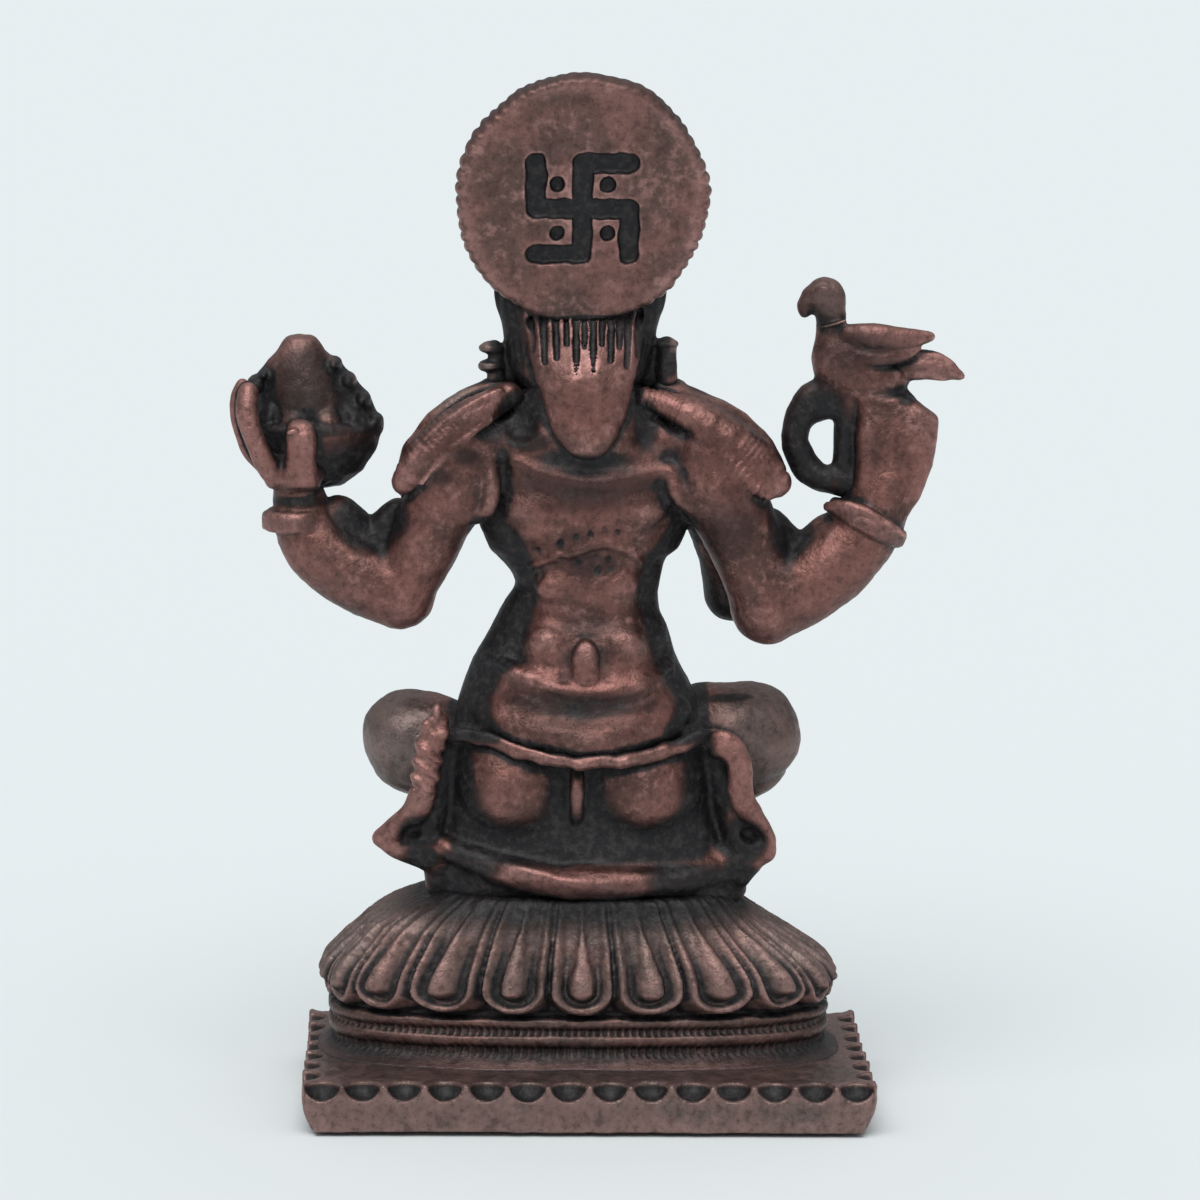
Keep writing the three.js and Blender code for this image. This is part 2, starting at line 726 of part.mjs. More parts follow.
const whole = join([makePlinth(), makeDrum(), makeLotus(), ...makeFigure()]);
const casting = toSolid(toGeometry(whole), weldReach);
const statue = new THREE.Mesh(toGeometry(casting), castCopper);
statue.name = "saraswati_figure";

const saraswati = new THREE.Group();
saraswati.add(statue);

export default saraswati;
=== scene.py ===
# A small cast figure of the goddess Saraswati in antique copper, seen from behind in a pale studio.
# The forms are pressed together on even grids of distances, as a modeller works in wax, then
# carved and skinned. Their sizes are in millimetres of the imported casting.
import bpy
import itertools
import math
import numpy as np
from mathutils import Matrix, Vector


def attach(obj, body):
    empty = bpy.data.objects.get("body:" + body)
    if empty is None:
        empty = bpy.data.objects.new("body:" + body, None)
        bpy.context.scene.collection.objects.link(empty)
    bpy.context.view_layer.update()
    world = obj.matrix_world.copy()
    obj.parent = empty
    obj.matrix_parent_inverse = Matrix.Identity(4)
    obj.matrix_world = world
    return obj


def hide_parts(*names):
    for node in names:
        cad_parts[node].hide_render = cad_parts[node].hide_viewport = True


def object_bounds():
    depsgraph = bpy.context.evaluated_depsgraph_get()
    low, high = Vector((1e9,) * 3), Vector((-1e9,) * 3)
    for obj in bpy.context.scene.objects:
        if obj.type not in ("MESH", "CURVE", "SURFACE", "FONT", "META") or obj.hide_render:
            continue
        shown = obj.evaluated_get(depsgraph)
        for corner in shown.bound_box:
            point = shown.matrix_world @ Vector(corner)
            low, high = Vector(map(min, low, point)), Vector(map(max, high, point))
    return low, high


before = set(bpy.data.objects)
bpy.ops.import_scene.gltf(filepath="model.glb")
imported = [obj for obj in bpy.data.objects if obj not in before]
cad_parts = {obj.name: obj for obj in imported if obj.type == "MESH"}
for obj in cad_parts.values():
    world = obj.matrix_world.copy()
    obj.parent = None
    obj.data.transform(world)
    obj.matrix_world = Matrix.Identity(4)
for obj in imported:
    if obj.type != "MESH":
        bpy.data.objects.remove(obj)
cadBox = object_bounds()
modelledHeight = 74.86
metres = (cadBox[1].z - cadBox[0].z) / modelledHeight
seat = (0.6, 0.0, 15.2)   # where the figure's own zero stands: on the lotus, a little to its left
print("frame loaded")


# Camera: level with the head, a little above, behind the figure
camera = {
    "place": (10.3, 371.1, 95.3),
    "down": 9.0,
    "aside": 1.7,
    "roll": 0.6,
    "lens": 156.6,
    "sensor": 36.0,
}


def makeCamera(spec):
    down, aside, roll = (math.radians(spec[key]) for key in ("down", "aside", "roll"))
    ahead = Vector((-math.sin(aside) * math.cos(down), -math.cos(aside) * math.cos(down), -math.sin(down)))
    level = Vector((-math.cos(aside), math.sin(aside), 0))
    upright = level.cross(ahead)
    right = level * math.cos(roll) + upright * math.sin(roll)
    up = upright * math.cos(roll) - level * math.sin(roll)
    data = bpy.data.cameras.new("photo_camera")
    data.lens = spec["lens"]
    data.sensor_width = spec["sensor"]
    data.clip_start = 0.01
    data.clip_end = 10
    made = bpy.data.objects.new("photo_camera", data)
    turn = Matrix((right, up, -ahead)).transposed().to_4x4()
    made.matrix_world = Matrix.Translation(Vector(spec["place"]) * metres) @ turn
    bpy.context.scene.collection.objects.link(made)
    bpy.context.scene.camera = made


makeCamera(camera)
print("camera placed")


# Wax: a piece is a grid of distances to its surface, below zero in the metal
farAway = 4.0
reach = 1.2   # how far around a form its distances are written
tiny = 1e-3   # keeps a division away from zero


def softMin(a, b, blend):
    if blend <= 0:
        return np.minimum(a, b)
    near = np.maximum(blend - np.abs(a - b), 0) / blend
    return np.minimum(a, b) - near * near * blend * 0.25


def turned(degrees):
    x, y, z = (math.radians(value) for value in degrees)
    turns = Matrix.Rotation(z, 3, "Z") @ Matrix.Rotation(y, 3, "Y") @ Matrix.Rotation(x, 3, "X")
    return np.array(turns, dtype=np.float32)


def smoothPath(stations, steps=6):
    # a smooth curve through the stations; each is a place and whatever else runs along it
    p = np.array(stations, float)
    p = np.vstack([2 * p[0] - p[1], p, 2 * p[-1] - p[-2]])
    points = []
    for a, b, c, d in zip(p[:-3], p[1:-2], p[2:-1], p[3:]):
        for u in np.arange(steps) / steps:
            points.append(0.5 * (2 * b + (c - a) * u + (2 * a - 5 * b + 4 * c - d) * u ** 2
                                 + (3 * b - a - 3 * c + d) * u ** 3))
    points.append(p[-2])
    return np.array(points)


def between(values, place, kind=float):
    # values on a lattice, read between its points
    cell = place.astype(int)
    f = (place - cell).astype(kind)
    total = np.zeros(len(place), kind)
    for corner in itertools.product((0, 1), repeat=3):
        weight = np.ones(len(place), kind)
        for i in range(3):
            weight *= f[:, i] if corner[i] else 1 - f[:, i]
        total += weight * values[tuple((cell + corner).T)]
    return total


class Wax:
    def __init__(self, low, high, step, shift=(0, 0, 0)):
        self.low = np.array(low, float)
        self.step = step
        self.shift = np.array(shift, float)
        count = np.ceil((np.array(high, float) - self.low) / step).astype(int) + 1
        self.field = np.full(count, farAway, np.float32)

    def window(self, low, high):
        # the part of the grid around a form, and its coordinates in the form's own place
        start = (np.array(low, float) + self.shift - self.low - reach) / self.step
        end = (np.array(high, float) + self.shift - self.low + reach) / self.step
        start = np.clip(np.floor(start).astype(int), 0, self.field.shape)
        end = np.clip(np.ceil(end).astype(int) + 1, 0, self.field.shape)
        axes = [
            (np.arange(start[i], end[i]) * self.step + self.low[i] - self.shift[i]).astype(np.float32)
            for i in range(3)
        ]
        x, y, z = np.ix_(*axes)
        return tuple(slice(start[i], end[i]) for i in range(3)), x, y, z

    def press(self, spot, distance, blend=0.3, cut=False):
        old = self.field[spot]
        self.field[spot] = -softMin(-old, distance, blend) if cut else softMin(old, distance, blend)

    def blob(self, centre, radii, turn=(0, 0, 0), blend=0.4, cut=False):
        size = max(radii)
        c = np.array(centre, float)
        spot, x, y, z = self.window(c - size, c + size)
        m = turned(turn).T
        x, y, z = x - c[0], y - c[1], z - c[2]
        u = (m[0, 0] * x + m[0, 1] * y + m[0, 2] * z) / radii[0]
        v = (m[1, 0] * x + m[1, 1] * y + m[1, 2] * z) / radii[1]
        w = (m[2, 0] * x + m[2, 1] * y + m[2, 2] * z) / radii[2]
        near = np.sqrt(u * u + v * v + w * w)
        slope = np.sqrt((u / radii[0]) ** 2 + (v / radii[1]) ** 2 + (w / radii[2]) ** 2)
        self.press(spot, near * (near - 1) / np.maximum(slope, 1e-4), blend, cut)

    def roll(self, stations, blend=0.35, flat=1.0, facing=(0, 1, 0), relief=None, cut=False, steps=5):
        # a rolled strip of wax through stations [x, y, z, radius]; flat squeezes it towards "facing"
        path = smoothPath(stations, steps)
        radius = path[:, 3].max()
        spot, x, y, z = self.window(path[:, :3].min(0) - radius, path[:, :3].max(0) + radius)
        shape = np.broadcast_shapes(x.shape, y.shape, z.shape)
        best = np.full(shape, farAway, np.float32)
        along = np.zeros(shape, np.float32) if relief else None
        across = np.zeros(shape, np.float32) if relief else None
        front = np.array(facing, float)
        run = 0.0
        x0, y0, z0 = x.ravel(), y.ravel(), z.ravel()
        for a, b in zip(path[:-1], path[1:]):
            step = b[:3] - a[:3]
            length = float(np.linalg.norm(step))
            if length < 1e-6:
                continue
            margin = max(a[3], b[3]) + reach
            low = np.minimum(a[:3], b[:3]) - margin
            high = np.maximum(a[:3], b[:3]) + margin
            part = tuple(
                slice(np.searchsorted(values, low[i]), np.searchsorted(values, high[i]))
                for i, values in enumerate((x0, y0, z0))
            )
            px, py, pz = x[part[0]] - a[0], y[:, part[1]] - a[1], z[:, :, part[2]] - a[2]
            t = np.clip((px * step[0] + py * step[1] + pz * step[2]) / length ** 2, 0, 1)
            px, py, pz = px - t * step[0], py - t * step[1], pz - t * step[2]
            squared = px * px + py * py + pz * pz
            if flat != 1.0:
                axis = step / length
                face = front - axis * (front @ axis)
                face /= max(np.linalg.norm(face), 1e-6)
                lift = px * face[0] + py * face[1] + pz * face[2]
                squared = squared + lift * lift * (1 / flat ** 2 - 1)
            distance = np.sqrt(squared) - (a[3] + (b[3] - a[3]) * t)
            if flat < 1.0:
                distance = distance * (0.5 + 0.5 * flat)
            old = best[part]
            closer = distance < old
            best[part] = np.where(closer, distance, old)
            if relief:
                side = np.cross(step / length, front)
                side /= max(np.linalg.norm(side), 1e-6)
                along[part] = np.where(closer, run + t * length, along[part])
                across[part] = np.where(closer, px * side[0] + py * side[1] + pz * side[2], across[part])
            run += length
        if relief:
            best = best - relief(along, across)
        self.press(spot, best, blend, cut)

    def stack(self, sections, exponent=2.4, blend=0.4, edge=0.6, steps=6):
        # an upright form through sections [height, half width, half depth, middle y, middle x]
        rows = smoothPath([list(row) + [0.0] * (5 - len(row)) for row in sections], steps)
        rows = rows[np.argsort(rows[:, 0])]
        reachX = (np.abs(rows[:, 4]) + rows[:, 1]).max()
        low = (-reachX, (rows[:, 3] - rows[:, 2]).min(), rows[0, 0])
        high = (reachX, (rows[:, 3] + rows[:, 2]).max(), rows[-1, 0])
        spot, x, y, z = self.window(low, high)
        halfX, halfY, midY, midX = (
            np.interp(z.ravel(), rows[:, 0], rows[:, i]).astype(np.float32)[None, None, :]
            for i in range(1, 5)
        )
        dx, dy = x - midX, y - midY
        share = (np.abs(dx / halfX) ** exponent + np.abs(dy / halfY) ** exponent) ** (1 / exponent)
        away = np.sqrt(dx * dx + dy * dy)
        distance = away - away / np.maximum(share, tiny)
        ends = np.maximum(rows[0, 0] - z, z - rows[-1, 0])
        self.press(spot, -softMin(-distance, -ends, edge), blend)

    def lathe(self, profile, foot, lean=0, flutes=0, fluteDepth=0.0, blend=0.3, edge=0.15, deep=1.0):
        # a turned form: profile points [radius, height] upwards from the foot, flattened by deep
        points = np.array(profile, float)
        radius, height = points[:, 0].max(), points[-1, 1]
        foot = np.array(foot, float)
        sin, cos = math.sin(math.radians(lean)), math.cos(math.radians(lean))
        size = radius + abs(height) * abs(sin) + 0.3
        low = (foot[0] - size, foot[1] - size, foot[2] + points[0, 1])
        high = (foot[0] + size, foot[1] + size, foot[2] + height)
        spot, x, y, z = self.window(low, high)
        x, y, z = x - foot[0], y - foot[1], z - foot[2]
        u, w = x * cos - z * sin, x * sin + z * cos
        away = np.sqrt(u * u + (y / deep) ** 2)
        wall = np.interp(w.ravel(), points[:, 1], points[:, 0]).astype(np.float32).reshape(w.shape)
        if flutes:
            wall = wall + fluteDepth * np.cos(flutes * np.arctan2(y, u))
        ends = np.maximum(points[0, 1] - w, w - height)
        self.press(spot, -softMin(-(away - wall) * 0.8, -ends, edge), blend)

    def sample(self, points):
        # the distance at each point; points outside the grid are far away
        place = (points - self.low) / self.step
        inside = np.all((place >= 0) & (place < np.array(self.field.shape) - 1.001), axis=1)
        result = np.full(len(points), farAway, np.float32)
        result[inside] = between(self.field, place[inside], np.float32)
        return result


def skin(wax):
    # one corner in each grid cell that the surface crosses, and one face on each crossed edge
    field = wax.field
    field[0], field[-1] = farAway, farAway
    field[:, 0], field[:, -1] = farAway, farAway
    field[:, :, 0], field[:, :, -1] = farAway, farAway
    metal = field < 0
    shape = np.array(field.shape) - 1
    corners = list(itertools.product((0, 1), repeat=3))
    count = np.zeros(shape, np.uint8)
    for c in corners:
        count += metal[c[0]:c[0] + shape[0], c[1]:c[1] + shape[1], c[2]:c[2] + shape[2]]
    active = (count > 0) & (count < 8)
    cells = np.argwhere(active)
    number = np.full(shape, -1, np.int32)
    number[active] = np.arange(len(cells))
    values = np.stack([field[tuple((cells + c).T)] for c in corners], axis=1)
    total = np.zeros((len(cells), 3), np.float32)
    crossings = np.zeros(len(cells), np.float32)
    for i, j in itertools.combinations(range(8), 2):
        if sum(abs(p - q) for p, q in zip(corners[i], corners[j])) != 1:
            continue
        a, b = values[:, i], values[:, j]
        crossed = (a < 0) != (b < 0)
        t = np.where(crossed, a / np.where(crossed, a - b, 1), 0)
        for k in range(3):
            total[:, k] += crossed * (corners[i][k] + t * (corners[j][k] - corners[i][k]))
        crossings += crossed
    points = (cells + total / crossings[:, None]) * wax.step + wax.low
    faces = []
    for axis in range(3):
        u, v = (axis + 1) % 3, (axis + 2) % 3
        first = [slice(1, -1)] * 3
        second = [slice(1, -1)] * 3
        first[axis], second[axis] = slice(0, -1), slice(1, None)
        a, b = metal[tuple(first)], metal[tuple(second)]
        offset = np.ones(3, int)
        offset[axis] = 0
        for flip, crossed in ((False, a & ~b), (True, ~a & b)):
            base = np.argwhere(crossed) + offset
            ring = []
            for du, dv in ((-1, -1), (0, -1), (0, 0), (-1, 0)):
                cell = base.copy()
                cell[:, u] += du
                cell[:, v] += dv
                ring.append(number[tuple(cell.T)])
            if flip:
                ring.reverse()
            faces.append(np.stack(ring, axis=1))
    return points, np.vstack(faces)


# Plinth: a low slab with half-moon gouges along its upper edge
plinth = {
    "width": 41.0, "depth": 24.0, "height": 3.6, "corner": 0.9, "edge": 0.25,
    "gougePitch": 2.92, "gougeWidth": 2.45, "gougeReach": 1.35, "gougeDepth": 1.15, "step": 0.16,
    "taper": 0.75, "taperHeight": 2.6,
}


def makePlinth(spec):
    halfX, halfY, top = spec["width"] / 2, spec["depth"] / 2, spec["height"]
    wax = Wax((-halfX - 1, -halfY - 1, -1), (halfX + 1, halfY + 1, top + 1), spec["step"])
    spot, x, y, z = wax.window((-halfX, -halfY, 0), (halfX, halfY, top))
    r = spec["corner"]
    dx = np.maximum(np.abs(x) - halfX + r, 0)
    dy = np.maximum(np.abs(y) - halfY + r, 0)
    taper = spec["taper"] * np.clip(1 - z / spec["taperHeight"], 0, 1) ** 2
    wall = np.sqrt(dx * dx + dy * dy) - r + 0.04 + taper * (dx > 0)
    slab = -softMin(-wall, -np.maximum(0.02 - z, z - top), spec["edge"])
    wax.press(spot, slab, 0)

    def gouge(gx, gy, turn):
        radii = (spec["gougeWidth"] / 2, spec["gougeReach"], spec["gougeDepth"])
        wax.blob((gx, gy, top - 0.02), radii, (0, 0, turn), blend=0.1, cut=True)

    alongWidth = int((spec["width"] - spec["gougeWidth"]) / spec["gougePitch"])
    for i in range(alongWidth + 1):
        place = (i - alongWidth / 2) * spec["gougePitch"]
        gouge(place, halfY, 0)
        gouge(place, -halfY, 0)
    alongDepth = int((spec["depth"] - 2 * spec["gougeReach"] - spec["gougeWidth"]) / spec["gougePitch"])
    for i in range(alongDepth + 1):
        place = (i - alongDepth / 2) * spec["gougePitch"]
        gouge(halfX, place, 90)
        gouge(-halfX, place, 90)
    return wax


# The oval that the drum and the lotus share
oval = {"exponent": 3.0, "setLeft": 0.5, "setForward": 1.3}


def ovalShare(dx, dy, halfX, halfY, n):
    # the share of the way out to the oval, and how fast it grows outwards
    share = (np.abs(dx / halfX) ** n + np.abs(dy / halfY) ** n) ** (1 / n)
    growX, growY = np.abs(dx / halfX) ** (n - 1) / halfX, np.abs(dy / halfY) ** (n - 1) / halfY
    slope = np.sqrt(growX ** 2 + growY ** 2)
    return share, np.maximum(slope / np.maximum(share, tiny) ** (n - 1), tiny)


def ovalPlace(x, y, halfX, halfY, spec):
    # the distance from the oval, and the place along its edge
    n = spec["exponent"]
    dx, dy = x - spec["setLeft"], y + spec["setForward"]
    share, slope = ovalShare(dx, dy, halfX, halfY, n)
    away = np.sqrt(dx * dx + dy * dy)
    distance = np.where(share > 0.5, (share - 1) / slope, away - away / np.maximum(share, tiny))
    bendX = np.sign(dx) * np.abs(dx / halfX) ** (n / 2)
    bendY = np.sign(dy) * np.abs(dy / halfY) ** (n / 2)
    angle = np.mod(np.arctan2(bendY, bendX), 2 * math.pi)
    sweep = np.linspace(0, 2 * math.pi, 1441)
    edgeX = halfX * np.sign(np.cos(sweep)) * np.abs(np.cos(sweep)) ** (2 / n)
    edgeY = halfY * np.sign(np.sin(sweep)) * np.abs(np.sin(sweep)) ** (2 / n)
    walked = np.concatenate([[0], np.cumsum(np.hypot(np.diff(edgeX), np.diff(edgeY)))])
    turn = np.interp(angle.ravel(), sweep, walked / walked[-1]).astype(np.float32).reshape(angle.shape)
    return distance, turn


# Drum: three bands between plinth and lotus, two of them hatched with a punch
drum = {
    "width": 36.6, "depth": 15.8, "foot": 3.3, "top": 7.9, "hatches": 165, "hatchDepth": 0.12, "step": 0.15,
}
drumProfile = [   # [height, how far the wall stands back from the widest band, hatching]
    (3.3, -0.9, 0), (3.6, -0.8, 0), (3.85, -0.3, 0), (4.15, 0.1, 0), (4.45, 0.42, 1), (4.85, 0.43, 1),
    (5.1, 0.12, 0.3), (5.5, 0.0, 0), (5.75, 0.08, 0), (5.95, 0.4, 1), (6.25, 0.38, 1), (6.45, 0.08, 0.3),
    (6.8, 0.0, 0), (7.05, 0.1, 0), (7.25, 0.6, 0), (7.9, 0.9, 0),
]


def makeDrum(spec, profile, ovalSpec):
    halfX, halfY = spec["width"] / 2, spec["depth"] / 2
    left, forward = ovalSpec["setLeft"], ovalSpec["setForward"]
    low = (left - halfX - 1, -forward - halfY - 1, spec["foot"] - 1)
    high = (left + halfX + 1, -forward + halfY + 1, spec["top"] + 1)
    wax = Wax(low, high, spec["step"])
    spot, x, y, z = wax.window(low, high)
    distance, turn = ovalPlace(x, y, halfX, halfY, ovalSpec)
    rows = np.array(profile)
    back = np.interp(z.ravel(), rows[:, 0], rows[:, 1]).astype(np.float32)[None, None, :]
    hatched = np.interp(z.ravel(), rows[:, 0], rows[:, 2]).astype(np.float32)[None, None, :]
    hatch = spec["hatchDepth"] * hatched * np.cos(2 * math.pi * spec["hatches"] * turn)
    wall = distance + back - hatch
    wax.press(spot, -softMin(-wall, -np.maximum(spec["foot"] - z, z - spec["top"]), 0.1), 0)
    return wax


# Lotus: drooping petals, each with a long boss, a line around it and a raised rim
lotus = {
    "width": 37.2, "depth": 17.6, "foot": 7.3, "height": 7.9, "petals": 24, "tipRound": 1.95,
    "gap": 1.3, "bossEdge": 0.4, "grooveEdge": 0.55, "step": 0.16,
    "bulge": [(0.2, 0), (0.46, 0.3), (0.75, 0.95), (0.88, 0.7), (1.0, 0)],   # to the figure's left, by height
}
lotusProfile = [   # [share of the height, share of the width, share of the depth]
    (-0.08, 0.93, 0.92), (0.05, 0.975, 0.97), (0.2, 0.99, 0.99), (0.34, 0.965, 0.975), (0.46, 0.92, 0.945),
    (0.6, 0.85, 0.9), (0.75, 0.77, 0.85), (0.88, 0.68, 0.8), (1.0, 0.59, 0.76), (1.08, 0.52, 0.7),
]
petalProfile = [   # [share of the way from the petal's middle to its edge, relief in millimetres]
    (0.0, 0.66), (0.16, 0.62), (0.3, 0.42), (0.4, 0.0), (0.5, -0.26), (0.58, -0.12), (0.68, 0.12),
    (0.78, 0.26), (0.87, 0.22), (0.94, 0.0), (1.0, -0.35), (1.2, -1.3),
]


def makeLotus(spec, profile, petal, ovalSpec):
    halfX, halfY = spec["width"] / 2, spec["depth"] / 2
    left, forward = ovalSpec["setLeft"], ovalSpec["setForward"]
    foot, height = spec["foot"], spec["height"]
    low = (left - halfX - 1.5, -forward - halfY - 1.5, foot - 1)
    high = (left + halfX + 1.5, -forward + halfY + 1.5, foot + height + 1.5)
    wax = Wax(low, high, spec["step"])
    spot, x, y, z = wax.window(low, high)
    rows = smoothPath(profile, 6)
    level = (z.ravel() - foot) / height
    wide = (halfX * np.interp(level, rows[:, 0], rows[:, 1])).astype(np.float32)[None, None, :]
    deep = (halfY * np.interp(level, rows[:, 0], rows[:, 2])).astype(np.float32)[None, None, :]
    bulge = np.interp(level, *np.array(spec["bulge"]).T).astype(np.float32)[None, None, :]
    out, slope = ovalShare(x - left - bulge, y + forward, wide, deep, ovalSpec["exponent"])
    distance = (out - 1) / slope
    turn = np.arctan2((y + forward) / halfY, (x - left) / halfX) / (2 * math.pi)
    across = np.abs(np.mod(turn * spec["petals"] + 0.5, 1) - 0.5) * 2
    share = level.astype(np.float32)[None, None, :]
    rise = z - foot - 0.1
    fall = np.maximum(spec["tipRound"] - rise, 0) / spec["tipRound"]
    radius = np.sqrt(across ** 2 + fall ** 2)
    table = np.array(petal)
    # the boss narrows upwards like a drop, while the groove and the rim around it go on to the seat
    narrow = np.clip(1.15 - 0.9 * np.maximum(share - 0.25, 0) / 0.6, 0.35, 1)
    bossEdge, grooveEdge = spec["bossEdge"], spec["grooveEdge"]
    edge = bossEdge * narrow
    groove = bossEdge + (grooveEdge - bossEdge) * (radius - edge) / (grooveEdge - edge)
    pinched = np.where(radius < edge, radius / narrow, np.where(radius < grooveEdge, groove, radius))
    relief = np.interp(pinched.ravel(), table[:, 0], table[:, 1]).astype(np.float32).reshape(radius.shape)
    bossFade, rimFade = np.clip(1.35 - 1.25 * share, 0.1, 1), np.clip(1.3 - 0.9 * share, 0.3, 1)
    relief = relief * np.where(radius < 0.45, bossFade, rimFade)
    under = np.clip((0.1 - rise) / 0.3, 0, 1) * spec["gap"]
    petals = (distance - relief + under) * 0.8
    ends = np.maximum(foot + 0.05 - z, z - foot - height - 0.4)
    wax.press(spot, -softMin(-petals, -ends, 0.25), 0)
    # the plain block that carries the petals
    core = np.maximum(distance + 1.25, np.maximum(foot - 0.2 - z, z - foot - height))
    wax.press(spot, core, 0.2)
    return wax


# Reliefs for rolled strips: ribs across, which twist like a rope where they slant, beads, and crumpled wax
def ribs(pitch, depth, slant=0.0):
    return lambda along, across: depth * np.cos(2 * math.pi * (along + slant * across) / pitch)


def beads(pitch, depth):
    return lambda along, across: depth * (np.abs(np.sin(math.pi * along / pitch)) - 0.5)


def crumple(pitch, depth):
    def relief(along, across):
        first = np.sin(2 * math.pi * (along + 0.9 * across) / pitch)
        second = np.sin(2 * math.pi * (along * 0.618 - 1.3 * across) / pitch + 1.0)
        third = np.sin(2 * math.pi * (along * 1.7 + 0.4 * across) / pitch + 2.2)
        return depth * (first + 0.8 * second + 0.5 * third) * 0.5
    return relief


# Legs, seat and sashes
legs = {
    "low": (-19, -13, 14), "high": (19, 8, 32.5), "step": 0.16,
    "toes": 5, "pleats": 7, "hemCrumple": (4.5, 0.09), "creasePitch": 3.1, "creaseDepth": 0.06,
    "foldPitch": 1.1, "foldDepth": 0.1, "wrinklePitch": 1.15, "wrinkleDepth": 0.13,
    "wrinkledFor": 5.2,   # how far down the left sash is wrinkled
}


